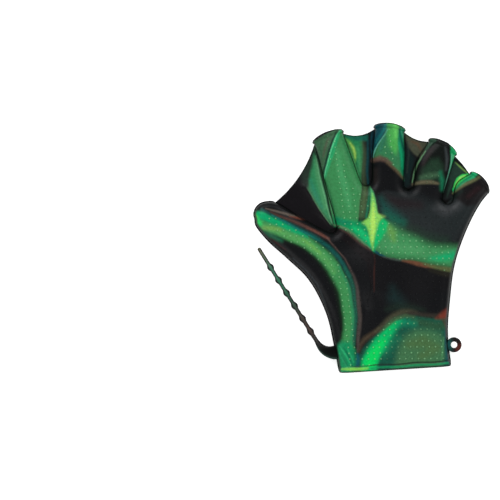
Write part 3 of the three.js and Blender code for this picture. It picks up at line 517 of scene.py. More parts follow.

# The marbling, in the order in which it is laid on: kind, colour, strength, softness of the edge
# in pixels, and places in the photo's pixels. A streak's places also have its half width there.
# Besides the marbling, some strokes are painted light: painted shadows and painted highlights along folds
# and edges, and a painted sheen.
MARBLING_AND_PAINTED_LIGHT = [
    # Right of the palm
    ("area", "#23292a", 0.9, 8, [(378, 188), (402, 192), (440, 203), (470, 188), (482, 200), (468, 226),
     (456, 243), (420, 238), (396, 230), (381, 214)]),
    # Painted sheen: a soft grey highlight on the black rubber right of the palm
    ("streak", "#3a3c3e", 0.8, 6, [(436, 208, 2), (446, 211, 5), (457, 206, 4), (466, 197, 2)]),
    ("streak", "#241b1e", 0.7, 5, [(384, 197, 3), (402, 203, 5), (420, 205, 4)]),
    ("streak", "#22352b", 0.9, 6, [(404, 227, 4), (425, 236, 4), (446, 240, 3)]),
    ("streak", "#0e4a42", 0.85, 7, [(381, 199, 1.5), (386, 208, 4), (393, 216, 6), (402, 221, 3)]),
    ("streak", "#15664a", 0.6, 6, [(386, 214, 2), (395, 220, 3), (403, 223, 1.5)]),
    ("area", "#3f8c55", 1, 6.5, [(374, 250), (377, 240), (381, 230), (386, 223), (392, 225),
     (399, 229.5), (409, 234.5), (418, 238.5), (425, 242), (436, 245), (448, 246.5), (459, 247),
     (457, 258), (452, 268), (440, 265), (425, 262.5), (412, 260), (400, 259), (388, 257), (379, 254)]),
    ("streak", "#64994c", 0.85, 4, [(388, 227, 2.5), (392, 233, 4), (394, 240, 2)]),
    ("streak", "#4f9b62", 0.6, 4, [(392, 246, 3), (406, 249, 4), (420, 252, 3)]),
    ("streak", "#0fa467", 0.95, 4, [(430, 258, 1), (440, 258, 3), (449, 257, 4), (458, 255, 4.5)]),
    ("area", "#121214", 1, 0.9, [(373, 251.5), (378.3, 255.4), (388.5, 258), (403, 260.5), (413, 261.5),
     (425, 265.3), (437, 268.3), (454, 272), (452, 290), (420, 295), (376, 290), (372, 262)]),
    ("streak", "#0b3f50", 0.95, 0.9, [(371.5, 249.3, 0.4), (375, 252, 1.1), (379.5, 254.6, 1.1),
     (385, 256.3, 0.3)]),
    ("streak", "#3f4a44", 0.9, 1, [(382, 256.8, 0.3), (390, 258.2, 0.9), (399, 260, 0.9),
     (407, 261, 0.3)]),
    ("streak", "#6b4531", 0.95, 1.5, [(402, 260.5, 0.5), (410, 262, 1.5), (418, 264, 2.2),
     (426, 265.6, 2), (434, 266.6, 1.2)]),
    ("streak", "#57603a", 0.95, 1.8, [(424, 263.8, 0.8), (434, 266.3, 1.6), (444, 268.6, 2.1),
     (455, 270.8, 2.3)]),
    ("streak", "#2c2a1e", 0.6, 2.5, [(430, 270, 1), (443, 273.5, 1.6), (454, 276, 2)]),

    # Middle of the palm
    ("streak", "#3b211d", 0.9, 0.9, [(373.6, 255, 0.5), (374, 266, 0.8), (374, 278, 0.7),
     (373.4, 292, 0.3)]),
    ("streak", "#060607", 0.9, 0.8, [(371.6, 252, 0.5), (371, 268, 0.7), (370.4, 285, 0.7),
     (368, 305, 0.4)]),
    ("streak", "#182a2a", 0.95, 7, [(392, 288, 2), (394, 297, 6), (402, 304, 4)]),
    ("streak", "#1d2c24", 0.8, 5, [(388, 309, 2), (398, 306, 3), (412, 308, 2.5), (424, 310, 1)]),

    # Lower right
    ("area", "#165240", 1, 2.6, [(352, 375), (356, 362), (362, 350), (370, 341), (380, 332), (388, 324),
     (394, 318), (402, 314.5), (414, 315.5), (428, 317.5), (440, 318), (452, 317), (452, 345),
     (455, 375)]),
    ("streak", "#2b5038", 0.9, 3.5, [(412, 320, 2), (424, 324, 4), (436, 326, 4), (444, 326, 3)]),
    ("area", "#40704a", 1, 5.5, [(395, 368), (397, 353), (401, 342), (406, 335), (416, 330), (430, 330),
     (440, 333), (445, 341), (445, 356), (440, 366)]),
    ("streak", "#4a6a3e", 0.7, 4, [(410, 345, 4), (424, 342, 6), (436, 348, 5), (422, 356, 4)]),
    ("streak", "#154f52", 0.95, 2, [(447, 332, 1.5), (447.5, 345, 2.2), (448.3, 362, 2)]),
    ("streak", "#4c8a5a", 0.8, 1.2, [(444.6, 338, 0.5), (443.6, 348, 0.9), (441.6, 360, 0.6)]),
    ("streak", "#0c8a62", 0.85, 6, [(388, 330, 2), (396, 323, 3.4), (404, 321.6, 3.2),
     (414, 323.6, 1.6)]),
    ("streak", "#1c7050", 0.8, 5, [(384, 356, 2), (391, 346, 3.4), (398, 338, 3)]),
    ("streak", "#0aa062", 0.9, 4, [(400, 321, 2), (393, 327, 4.6), (387, 336, 6), (381, 345, 7)]),
    ("streak", "#08b561", 1, 2.8, [(396, 322, 1), (391, 328, 3), (385, 337, 4.8), (379, 346, 6.4),
     (373.5, 354, 7.4), (370, 362, 7.8), (369, 372, 8)]),
    ("streak", "#0ad35d", 0.95, 3.4, [(384, 341, 1.5), (378, 349, 3.4), (373, 356, 5),
     (370.5, 363, 5.2)]),
    ("streak", "#4c4032", 0.85, 2.6, [(358.5, 352, 0.6), (361, 344, 1.8), (366, 338.5, 2.3),
     (373, 333.8, 2.2), (379, 329.3, 1.6)]),
    ("streak", "#4a4a38", 0.85, 2.9, [(376, 331.5, 1), (383, 325.5, 2), (389, 319.5, 2.2),
     (395, 314.8, 2.4), (402, 312, 2.4), (409, 311.8, 2), (416, 313, 1)]),
    ("streak", "#465b3b", 0.8, 1.8, [(380, 332.5, 0.6), (388, 325, 1.4), (396, 318.4, 1.6),
     (405, 315.6, 1.4), (414, 317, 0.8)]),
    ("streak", "#322e28", 0.9, 2, [(410, 313, 1.6), (422, 315, 2.2), (434, 315.6, 2.2),
     (442, 314.6, 1.6)]),
    ("area", "#7a3527", 0.85, 2.8, [(436, 318.2), (443, 312.2), (450, 308), (451, 319.5), (444, 319)]),
    ("streak", "#4a2d22", 0.8, 2, [(444, 321, 1), (447.5, 327, 1.2), (448, 333, 0.5)]),
    ("streak", "#0f5560", 0.9, 1.8, [(357.5, 354, 1), (358, 361, 1.9), (357.5, 368, 1.6)]),

    # Band from the thumb's tip to the cuff
    ("streak", "#17301c", 0.8, 3.4, [(272, 234, 0.5), (286, 239.4, 0.8), (302, 246.6, 1),
     (316, 257.6, 1), (326.6, 270.4, 1), (335.2, 287.4, 1), (340.8, 306.8, 1), (343, 329, 1),
     (341.6, 346, 0.8)]),
    ("streak", "#3d8c50", 1, 2.6, [(258, 221, 4), (266, 226, 5), (277, 229.6, 5.2), (288, 233.3, 5.4),
     (298, 237.8, 5.6), (308, 243, 5.8), (318, 250.2, 6), (326.6, 258.6, 6), (333.8, 268, 6),
     (339.6, 278.5, 5.8), (344.4, 290.5, 5.6), (347.4, 303, 5.4), (348.9, 316, 5.4), (349.3, 330, 5.4),
     (348.2, 342, 5.6), (346.5, 354, 6.4), (345, 372, 7.6)]),
    ("streak", "#55a058", 0.85, 2.5, [(262, 226, 2), (272, 230, 3), (284, 233, 3.4), (296, 238.4, 3.6),
     (308, 244.6, 3.4), (318.4, 252.3, 3), (327, 261.5, 2.6), (334.4, 272, 2)]),
    ("streak", "#76a34e", 0.7, 2.2, [(264, 228, 1.4), (271, 228.6, 1.8), (280, 229.8, 1.6)]),
    ("streak", "#6fae52", 0.6, 2, [(303, 240, 1), (313, 246.6, 1.6), (320, 252.6, 1)]),
    ("streak", "#1f7450", 0.7, 3, [(264, 232.6, 1), (272, 236.6, 1.8), (282, 240.4, 1)]),
    ("streak", "#2c8a5c", 0.8, 1.6, [(339, 266, 0.8), (345.6, 279.5, 1.2), (350.6, 294, 1.4),
     (353, 310, 1.4), (353, 328, 1.4), (351.6, 342, 1)]),
    ("streak", "#0aa065", 1, 1.8, [(254, 214, 3.5), (262, 215.6, 4), (270, 219.6, 3.4), (280, 223.6, 3),
     (290, 228, 2.6), (300, 232.6, 2), (308, 237.4, 0.8)]),
    ("streak", "#2cc862", 0.95, 2.2, [(253, 213, 2), (256, 218, 3), (260, 223.6, 2)]),
    ("streak", "#7fe05c", 0.8, 1.2, [(254.6, 214, 0.6), (256.2, 216.6, 0.6)]),
    ("streak", "#0f534c", 0.9, 1.7, [(262, 209.6, 1.2), (269, 213.3, 0.9), (281.6, 219, 1.3),
     (294.3, 226.2, 1.5), (307, 232.8, 1.6), (319, 239.2, 1.8), (328.5, 246.4, 2), (336, 255, 2),
     (343.4, 264.8, 2), (349.4, 276, 1.6)]),
    ("streak", "#1c5c4a", 0.9, 1.8, [(345, 268, 1.2), (349.4, 276, 1.9), (353.4, 289, 1.9),
     (355.6, 303, 1.8), (356, 318, 1.7), (355.3, 333, 1.5), (354, 345, 1)]),
    ("streak", "#137a6c", 0.85, 0.9, [(272, 215.5, 0.4), (284, 221.2, 0.8), (296, 228, 0.8),
     (308, 234.6, 0.7), (318, 240.4, 0.4)]),
    ("streak", "#4e3028", 0.95, 1.1, [(271, 212, 0.5), (279, 215.6, 1.1), (290, 219.6, 1.2),
     (300, 224, 1.3), (310, 228.8, 1.3), (320.6, 233.6, 1.4), (329, 238, 1)]),
    ("streak", "#6e3b2c", 0.6, 0.9, [(306, 228, 0.3), (314, 231, 0.9), (323, 235.4, 0.9),
     (330, 239.6, 0.5)]),
    ("streak", "#5c4a44", 0.85, 0.8, [(327.5, 237.4, 0.5), (331.8, 243, 0.5), (338, 251, 0.5),
     (344.8, 259, 0.5), (350.4, 268.4, 0.5)]),
    ("streak", "#4c4440", 0.9, 1.4, [(349, 266, 0.3), (353.6, 275.6, 0.9), (357, 288, 1.4),
     (359, 302, 1.9), (359.8, 317, 1.9), (359.4, 332, 1.8), (358, 345, 1.2), (357.4, 352, 0.4)]),
    # Painted highlight: a brownish light line below the thumb's top crease
    ("streak", "#5d534a", 0.95, 0.9, [(266, 208.6, 0.4), (275.3, 210.6, 1), (285.4, 213.2, 1.2),
     (294.3, 216.2, 1.1), (301, 219, 0.6)]),
    ("streak", "#6b3326", 0.85, 0.9, [(289, 215.8, 0.3), (297, 217.8, 1), (304.5, 220.2, 0.4)]),
    # Painted highlight: a thin grey line of sheen just inside the thumb side's edge
    ("streak", "#3b4145", 0.85, 0.8, [(293, 258.5, 0.4), (306, 270, 0.5), (317, 284, 0.5),
     (325, 302, 0.5), (331, 322, 0.5), (334.5, 338, 0.3)]),
    ("streak", "#3a1d1c", 0.8, 1, [(270, 238.6, 0.4), (277, 243, 0.9), (286, 249.6, 0.4)]),
    ("area", "#128a58", 0.95, 3, [(335, 349), (342, 342), (351, 342), (355, 350), (356, 362),
     (355, 375), (336, 375)]),
    ("streak", "#2fb474", 0.8, 1, [(340, 347, 0.4), (346, 356, 0.8), (351.5, 365, 0.6)]),
    ("streak", "#2fb474", 0.7, 0.9, [(339.5, 354, 0.4), (343.5, 361, 0.7), (348, 367.5, 0.5)]),
    ("streak", "#2fb474", 0.7, 0.8, [(347.5, 349, 0.3), (351, 356, 0.6), (354, 362.5, 0.3)]),
    ("streak", "#0b5f45", 0.8, 0.9, [(343.5, 348, 0.3), (348.6, 356.5, 0.7), (353, 365.5, 0.5)]),
    ("streak", "#0b5f45", 0.8, 0.9, [(341, 356, 0.3), (345.5, 363, 0.7), (349, 368, 0.4)]),

    # Edge bead of the cuff
    ("streak", "#17925a", 0.9, 0.7, [(366, 368.7, 0.5), (390, 367.2, 0.8), (420, 365.3, 0.8),
     (448, 363.3, 0.6)]),
    ("streak", "#8edc55", 0.95, 1.6, [(343, 369.8, 0.5), (351, 369.6, 1.3), (360, 369, 1.3),
     (368, 368.2, 0.6)]),
    # Painted shade: a dark line along the inner foot of the cuff's bead
    ("streak", "#06130d", 0.95, 0.6, [(352, 366.9, 0.2), (372, 365.6, 0.5), (400, 364, 0.6),
     (430, 362.2, 0.6), (449, 361, 0.5)]),

    # Web between the thumb and the index finger
    ("area", "#26332b", 0.95, 4, [(300, 172), (309, 158), (317, 144), (320, 165), (324, 190),
     (331, 225), (322, 214), (308, 194)]),
    ("area", "#2f8052", 1, 2.4, [(314, 153), (317, 162), (320.4, 174), (323.4, 187), (327.4, 203),
     (332.5, 224), (327, 217.5), (320.6, 208.5), (314.6, 199.5), (308.5, 189), (310, 178),
     (312.6, 166)]),
    ("streak", "#4b9260", 0.8, 2.2, [(315.6, 160, 1), (318.6, 176, 2), (322, 192, 2), (326, 208, 1.4)]),
    ("streak", "#1f7a5e", 0.75, 3, [(311, 180, 1), (313.6, 189, 2), (318, 199, 1.6), (322.6, 207, 1)]),
    # Painted highlight along the web's edge beside the index sleeve's seam
    ("streak", "#6fb682", 0.7, 0.9, [(315.6, 155, 0.2), (318, 165.5, 0.5), (320.8, 178, 0.6),
     (323.5, 190, 0.7), (327, 204, 0.7), (331, 218, 0.5), (332.4, 223, 0.2)]),
    ("area", "#121013", 1, 0.9, [(306.5, 188.5), (309.8, 192.6), (314.6, 200.3), (319.8, 208.6),
     (325, 216.6), (332.4, 227), (320, 229), (300, 217), (276, 205), (285, 192), (297, 180)]),
    ("streak", "#5d8a64", 0.75, 0.6, [(307, 187.5, 0.2), (313.5, 198, 0.4), (319.6, 207.6, 0.5),
     (325.4, 216.4, 0.5), (330.6, 224, 0.3)]),

    # Index sleeve
    ("area", "#3d6446", 1, 1.2, [(312, 143.5), (325, 134), (339, 128), (335, 138), (331, 148),
     (327.5, 158), (324.6, 168), (324, 178), (321, 168), (318, 158), (315.5, 150)]),
    ("streak", "#1f3228", 0.85, 1.6, [(315.6, 147, 0.8), (317.6, 154, 1), (320.6, 163, 0.8)]),
    ("streak", "#524f42", 0.7, 1.6, [(328.6, 138, 0.8), (325.6, 147, 1), (323, 156, 0.7)]),
    ("streak", "#2f5a41", 0.7, 1.3, [(322, 141, 0.8), (321, 150, 1), (321.6, 159, 0.6)]),
    # Painted shadow: a dark strip on the shaded side of the index sleeve's ridge
    ("streak", "#0a2f26", 0.95, 0.9, [(336.3, 131, 0.6), (333.4, 139, 1), (329.6, 149.6, 1.1),
     (326.4, 159.6, 1), (324.4, 168, 0.9), (324, 176, 0.5)]),
    ("area", "#3a8750", 1, 0.9, [(339.5, 129), (343, 133), (347, 141), (351, 149.5), (354.6, 157.5),
     (357.6, 165), (360.4, 173.5), (362, 181), (361.6, 191), (360.6, 201), (359.2, 212), (357, 225),
     (346, 229), (335, 226), (332.6, 215), (330, 203), (327.5, 193), (325.2, 183), (324.4, 175),
     (327, 163), (330.6, 152.5), (334, 142), (337, 134)]),
    ("streak", "#2a7548", 0.7, 1.8, [(341.6, 136, 0.8), (345.6, 146, 1.4), (350, 157, 1.4),
     (354, 168, 0.8)]),
    ("streak", "#469a61", 0.75, 2.6, [(337, 150, 2), (339, 164, 3), (343, 180, 3.5), (348, 198, 3),
     (350, 208, 2)]),
    # Painted highlight along the lit edge of the index sleeve's ridge, in these two streaks
    ("streak", "#26a467", 0.9, 1.2, [(339.6, 130.5, 1), (337.4, 138, 1.8), (334.6, 147, 2),
     (331, 157, 1.6), (328, 167, 1), (326, 176, 0.6)]),
    ("streak", "#62d898", 0.85, 0.6, [(338.3, 131.5, 0.4), (335.2, 139.5, 0.6), (331.6, 149.5, 0.6),
     (328.2, 159.5, 0.6), (325.8, 169, 0.5), (325, 178, 0.3)]),
    ("streak", "#5fa571", 0.85, 0.9, [(326.4, 184, 0.4), (329.4, 196, 0.9), (332.4, 208, 1),
     (335.4, 219, 0.5)]),
    ("streak", "#1e5a38", 0.8, 0.7, [(326, 180.5, 0.4), (330, 194, 0.6), (333.6, 207, 0.6),
     (336.6, 218, 0.4)]),
    ("area", "#0a9058", 0.95, 2.6, [(334, 216), (345, 219.4), (356, 221), (368, 222), (372, 237),
     (374, 252), (364, 245), (352, 235), (343, 230), (335, 226.5)]),
    ("streak", "#137a5c", 0.7, 2, [(337, 219, 1), (343, 222.6, 2), (350, 223.6, 1)]),
    ("streak", "#12b76c", 0.9, 2.4, [(354, 228, 2), (361, 232, 3.2), (367, 238, 3), (371, 245, 1.2)]),

    # Below the index finger
    ("streak", "#4f7349", 0.75, 4.4, [(364.6, 187, 2), (364.4, 196, 3), (363.4, 206, 3.2),
     (361.6, 215, 2.6)]),
    ("streak", "#5a5a40", 0.35, 3.4, [(365.4, 190, 0.8), (365, 199, 1.4), (363.6, 208, 1)]),
    ("streak", "#18805a", 0.7, 1.5, [(369.2, 188.5, 0.5), (369, 199, 0.9), (368, 209, 1.2),
     (366, 217, 1)]),

    # Web between the index and the middle finger
    ("area", "#217548", 1, 1.2, [(343, 132), (350, 134), (363, 134), (363.5, 150), (363, 168),
     (361.5, 183), (359.6, 171), (356, 160), (352, 150), (347.4, 141)]),
    ("streak", "#145c4c", 0.9, 2, [(347, 135.6, 0.8), (357, 137.6, 2), (368, 137, 3)]),
    ("streak", "#3f9058", 0.8, 1.8, [(358, 146, 1), (359.6, 157, 1.6), (361, 170, 1.2)]),
    # Painted highlight: a lime spot of reflected light on the web beside the index sleeve
    ("area", "#5fa346", 0.85, 1.9, [(346.6, 138), (351, 140.6), (354.4, 144.6), (356.6, 150.6),
     (356.8, 157), (356, 161), (353, 153.4), (350.4, 146.4)]),
    ("streak", "#a5c65a", 0.8, 1.4, [(351, 142.5, 0.3), (353.6, 146.5, 0.9), (355, 152, 0.7),
     (355.6, 157, 0.3)]),
    ("streak", "#465a3e", 0.75, 4, [(363.6, 142, 1), (364.4, 152, 1.8), (364.4, 166, 2),
     (364, 181, 1.6)]),
    # Painted shadow along the middle sleeve's left side
    ("area", "#0b0f12", 0.98, 1.6, [(369.2, 134), (374, 126), (373.4, 150), (372, 172), (371, 187),
     (368.6, 186), (368.4, 160)]),
    ("streak", "#0c4448", 0.8, 1.5, [(369, 140, 0.8), (368.2, 152, 1.1), (368, 168, 1.1),
     (368.8, 183, 0.8)]),

    # Four-pointed star in the palm
    ("area", "#0cb465", 0.95, 2.2, [(376, 223), (383, 218), (388, 223), (386, 231), (382, 239),
     (377, 246.5), (373, 251), (374, 238)]),
    ("area", "#4aa869", 1, 1.1, [(370, 186), (372.8, 191), (375, 198), (376.8, 206), (378, 214),
     (376, 222), (370, 220), (370.8, 208), (370.6, 198)]),
    ("streak", "#7da24f", 0.9, 2.2, [(378.4, 216, 1.4), (381.6, 216.6, 1.6), (384.6, 216.6, 0.6)]),
    ("area", "#86cf5c", 1, 1.5, [(372, 193), (374.4, 199), (376.2, 206), (377.6, 213.2), (382.6, 217.4),
     (378.6, 222.3), (376.4, 228.5), (374.6, 238.5), (372.5, 250.6), (371, 243), (368.7, 231.5),
     (366.3, 225.6), (361.6, 222.3), (368, 217.6), (370.8, 210), (371.8, 201.5)]),
    ("streak", "#b6e666", 0.85, 1.5, [(373.8, 204, 0.6), (373.6, 213, 1.6), (372.6, 222, 2.4),
     (372.4, 232, 1.4), (372.5, 242, 0.6)]),

    # Border under the index finger and the star
    ("area", "#151214", 1, 0.9, [(332, 227), (337, 227.2), (343, 229.4), (350, 233.2), (358, 239.4),
     (366, 246.4), (372.5, 252), (374, 262), (372, 290), (366, 262), (350, 246), (338, 236),
     (331, 231)]),
    ("streak", "#6b7a5c", 0.85, 0.7, [(334, 224.6, 0.4), (340, 226.6, 0.8), (347, 229.6, 0.8),
     (355, 235.2, 0.8), (363, 242.2, 0.7), (370, 248.6, 0.4)]),
    ("streak", "#4e3a33", 0.85, 1.1, [(340, 229, 0.4), (348, 233, 1), (356, 239, 1.1), (364, 245.8, 1),
     (370.5, 251, 0.4)]),

    # Middle sleeve
    ("area", "#0b414a", 1, 1.3, [(372.5, 121), (389, 121), (386, 131), (381, 140), (376.4, 148),
     (372, 158), (371.5, 148)]),
    ("streak", "#147470", 0.7, 2, [(386.6, 123.6, 1.4), (384, 129.6, 1.4), (380, 136.6, 1),
     (377, 142, 0.6)]),
    # Painted shadow: a dark line along the middle sleeve's left side
    ("streak", "#0b1c26", 0.9, 1.3, [(374, 124, 1), (374, 135, 1.2), (373, 148, 1)]),
    ("area", "#32774c", 1, 1.4, [(389, 121), (399, 122), (400, 140), (401, 155), (403.5, 168),
     (405, 180), (399, 172), (392, 165), (384, 159.5), (374, 158.5), (376, 151), (380.6, 142),
     (385.6, 132)]),
    ("area", "#4aa750", 0.95, 3.2, [(388, 120), (400, 121), (401, 134), (400, 146), (395.6, 154),
     (390, 146), (387.6, 134)]),
    ("streak", "#68cc62", 0.8, 2.6, [(395, 122, 2), (395.6, 130, 1.6), (396, 138, 0.8)]),
    ("streak", "#2b6c58", 0.7, 2, [(385, 138, 1), (382.4, 145, 1.8), (380.6, 151, 1)]),
    ("area", "#0b7a52", 0.95, 1.4, [(399, 128), (404.5, 127.5), (404.8, 140), (405.3, 155),
     (405.5, 168), (404.8, 180), (401.6, 170), (399.6, 155), (398.4, 140)]),
    ("streak", "#12a06a", 0.8, 1.3, [(399.6, 142, 0.6), (401.4, 155, 1.2), (403.3, 168, 0.8)]),
    ("streak", "#0a3d3e", 0.9, 0.7, [(398.8, 124.5, 0.4), (400.4, 133, 0.7), (402.8, 141.5, 0.7),
     (404.4, 150, 0.6)]),
    ("streak", "#59a08a", 0.6, 0.6, [(401, 126.5, 0.2), (402.4, 131.5, 0.4), (404, 136.5, 0.2)]),
    ("streak", "#5fb29a", 0.85, 0.6, [(387.6, 129, 0.2), (384.4, 135.6, 0.4), (380, 142, 0.5),
     (376, 149, 0.6), (374, 154, 0.5), (373.4, 157.5, 0.3)]),
    ("streak", "#5a463c", 0.95, 2, [(374, 160, 2), (380, 158, 2.6), (386, 159.6, 2.2),
     (391, 163, 1.4)]),
    ("area", "#0f1012", 1, 1.8, [(371, 166), (377, 164.4), (385, 164.4), (391, 167.6), (397, 173),
     (402.5, 180), (409, 186), (404, 192), (386, 190), (376, 194), (370.8, 186)]),
    ("streak", "#594a36", 0.9, 1.5, [(387, 162.6, 0.8), (393, 166.6, 1.4), (399, 171.8, 1.4),
     (404, 178, 0.8)]),
    ("streak", "#26201f", 0.7, 3, [(376, 170, 2), (376, 182, 2)]),

    # Web between the middle and the ring finger
    ("area", "#46493a", 0.95, 1.6, [(405.8, 131), (413, 137), (421, 141.5), (430, 142), (425, 149.5),
     (420, 157), (414, 153), (409, 147)]),
    ("streak", "#58402f", 0.7, 1.8, [(413, 141, 0.8), (419, 143.6, 1.6), (421.6, 149, 0.8)]),
    ("area", "#0d1f1f", 0.95, 3, [(405.6, 143), (410, 150), (415, 158), (414.6, 168), (411.5, 184),
     (404.5, 188), (405.2, 165)]),
    ("streak", "#27352f", 0.7, 1.2, [(408.8, 141, 0.6), (409.4, 155, 0.8), (408.4, 172, 0.6)]),

    # Ring sleeve
    ("area", "#101512", 0.95, 2, [(434, 138), (444, 141), (447, 160), (446, 182), (430, 184),
     (415, 186), (420, 170), (428, 154)]),
    ("area", "#2c4c3a", 0.95, 1.2, [(428.5, 136), (433, 135.5), (438.5, 138.5), (433, 145), (427, 150),
     (424, 153), (428, 143)]),
    ("area", "#213a2a", 0.95, 4, [(424, 168), (431, 159), (438, 158), (443, 166), (442, 178),
     (430, 182), (418, 182)]),
    ("streak", "#3c5c42", 0.85, 2.6, [(422, 178, 2), (431, 175.5, 3), (438, 174, 2)]),
    ("streak", "#2c1c20", 0.5, 2.4, [(434, 146, 0.8), (428, 155, 1.6), (423.6, 164, 1)]),
    ("streak", "#128058", 0.8, 3.4, [(441, 172, 0.8), (443, 180, 1.8), (442.6, 189, 1.2)]),
    ("streak", "#5e5944", 0.95, 1.5, [(413.5, 184, 1), (422, 182.4, 1.8), (432, 181.8, 1.8),
     (438.5, 183, 1)]),
    ("streak", "#3b4142", 0.85, 1.3, [(446, 147, 0.8), (447, 158, 1.3), (446.6, 170, 0.9)]),
    # Painted shade: dark lines along the ring sleeve's ridge and groove
    ("streak", "#060a08", 0.95, 0.7, [(420.4, 153.5, 0.5), (416.6, 162.5, 0.7), (413.4, 172, 0.7),
     (411, 182, 0.6)]),
    ("streak", "#060a08", 0.95, 0.8, [(434.6, 142.5, 0.5), (428.4, 149.8, 0.9), (423, 157.3, 0.9),
     (419.3, 165.2, 0.9), (416.6, 175, 0.8), (414.4, 184.5, 0.5)]),
    ("streak", "#6a9a6c", 0.7, 0.6, [(426, 150.4, 0.4), (421.6, 156.8, 0.6), (417.9, 164.6, 0.7),
     (415.2, 173.6, 0.7), (413, 182, 0.5)]),
    ("area", "#10a25e", 0.95, 1, [(450.5, 145.5), (456.8, 150), (457.3, 154.5), (454.6, 158.5),
     (452.6, 165.5), (450.6, 172), (450.8, 160)]),
    # Painted highlight and painted shade: a pale line and a dark line along the ring sleeve's right-hand
    # fold
    ("streak", "#6fb59a", 0.8, 0.6, [(452, 154, 0.3), (451.6, 164, 0.6), (449.6, 174, 0.6),
     (446.6, 184, 0.5), (444, 192, 0.3)]),
    ("streak", "#060a08", 0.9, 0.6, [(448.3, 145, 0.3), (450, 150.5, 0.5), (450.2, 157, 0.6),
     (449.6, 166, 0.6), (447.8, 176, 0.6), (445, 186, 0.5), (442.6, 195, 0.4)]),

    # Web between the ring and the little finger
    ("area", "#233a30", 0.9, 1.5, [(455, 160), (463, 167), (471, 174), (462, 175), (455, 183),
     (448, 197), (447.5, 188), (451, 174)]),
    ("streak", "#0c1512", 0.8, 1.6, [(450.6, 180, 1), (447.6, 190, 1.5), (445, 197, 1)]),
    ("streak", "#6a9148", 0.85, 0.8, [(456.5, 162, 0.4), (461, 165.8, 0.8), (466.5, 170.4, 0.8),
     (470, 173.2, 0.4)]),

    # Little sleeve
    ("area", "#171516", 0.95, 2, [(452, 195), (462, 187), (476, 178), (486, 182), (490, 192),
     (479, 204), (468, 206)]),
    ("area", "#109c60", 1, 1.2, [(470, 172), (476.5, 168.5), (480.5, 173), (475, 177.6), (467, 181.4),
     (460, 187.4), (454, 193), (453.4, 189), (460, 181)]),
    ("streak", "#0c6b45", 0.8, 1.4, [(472, 175.6, 0.8), (465, 180, 1), (459, 185.6, 0.6)]),
    ("area", "#35c85a", 1, 0.9, [(470.4, 172.8), (463.6, 173.9), (458.2, 178), (455.4, 183.6),
     (453.6, 190), (457, 187.2), (461, 182.4), (466, 178.4), (470, 175.4)]),
    ("streak", "#95e26a", 0.85, 0.9, [(467, 174.8, 0.5), (461.6, 177.6, 1), (457.8, 183, 0.7),
     (455.6, 187, 0.3)]),
    ("streak", "#5f6340", 0.95, 1.4, [(480, 177, 1), (472.6, 180.6, 1.3), (465, 184.4, 1.3),
     (458.6, 189, 1.1), (453.6, 193.4, 0.5)]),
    ("streak", "#2a1b1d", 0.8, 3, [(478, 188, 2.5), (469, 196, 2)]),
    ("streak", "#1b2b26", 0.7, 2.5, [(462, 191, 1.2), (455, 197, 1.2), (450, 201, 0.8)]),

    # Painted shade in the dimples at the crotches
    ("streak", "#050505", 0.95, 1.2, [(403, 187, 0.6), (408.5, 189.4, 2), (414, 187, 0.6)]),
    ("streak", "#050505", 0.95, 1.4, [(440.6, 198, 0.6), (446.5, 202.3, 2), (452, 198.5, 0.6)]),
    ("streak", "#050505", 0.95, 1.1, [(330, 230, 0.6), (335, 228.4, 1.4), (338.6, 226, 0.5)]),
]


def signed_distance(corners, points):
    """Distance to an outline, more than 0 inside it."""
    ring = np.array(corners + corners[:1], float)
    distance = distance_to_line(ring, points)
    inside = np.zeros(len(points), bool)
    for a, b in zip(ring[:-1], ring[1:]):
        crosses = (a[1] > points[:, 1]) != (b[1] > points[:, 1])
        rise = b[1] - a[1] if b[1] != a[1] else 1
        where = a[0] + (points[:, 1] - a[1]) * (b[0] - a[0]) / rise
        inside ^= crosses & (points[:, 0] < where)
    return np.where(inside, distance, -distance)


def streak_depth(places, points):
    """How far inside a streak of varying half width each point lies."""
    depth = np.full(len(points), -np.inf)
    places = np.array(places, float)
    for a, b in zip(places[:-1], places[1:]):
        along = b[:2] - a[:2]
        share = np.clip(((points - a[:2]) @ along) / (along @ along), 0, 1)
        offset = np.linalg.norm(points - a[:2] - share[:, None] * along, axis=1)
        depth = np.maximum(depth, a[2] + (b[2] - a[2]) * share - offset)
    return depth


def marbled_and_painted_light(points):
    """Linear colour of the marbling at plan places, with the painted shadows and painted highlights laid
    among its strokes.
    """
    spots = chart_place(points)
    colour = np.tile(linear(BLACK), (len(spots), 1))
    for kind, paint, strength, softness, places in MARBLING_AND_PAINTED_LIGHT:
        corners = np.array([place[:2] for place in places])
        reach = softness + max([place[2] for place in places] if kind == "streak" else [0]) + 1
        near = np.all((spots > corners.min(0) - reach) & (spots < corners.max(0) + reach), axis=1)
        if not near.any():
            continue
        depth_of = signed_distance if kind == "area" else streak_depth
        depth = depth_of(places, spots[near])
        cover = strength * smoothstep(depth, -softness, softness)
        colour[near] += (linear(paint) - colour[near]) * cover[:, None]
    return colour


# Where the plan lies in the frame
fields = make_fields()
plan, bead, grids = numbered(fields)
outline = np.array([plan.min(0), plan.max(0)]).mean(0)
node_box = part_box("glove_shell")
SHIFT = np.array([*((node_box[0] + node_box[1]) / 2)[:2], 0]) - np.array([*outline * 0.001, 0])


def place_in_frame(points):
    return points * 0.001 + SHIFT


def new_piece(name, points, faces, colours, material):
    """A smooth-shaded object in the frame, with a colour for each vertex."""
    mesh = bpy.data.meshes.new(name)
    mesh.from_pydata(place_in_frame(points).tolist(), [], faces)
    mesh.validate()
    mesh.polygons.foreach_set("use_smooth", [True] * len(mesh.polygons))
    layer = mesh.color_attributes.new("marbling_and_painted_light", "FLOAT_COLOR", "POINT")
    layer.data.foreach_set("color", np.column_stack([colours, np.ones(len(colours))]).ravel())
    mesh.materials.append(material)
    mesh.update()
    piece = bpy.data.objects.new(name, mesh)
    bpy.context.scene.collection.objects.link(piece)
    return piece


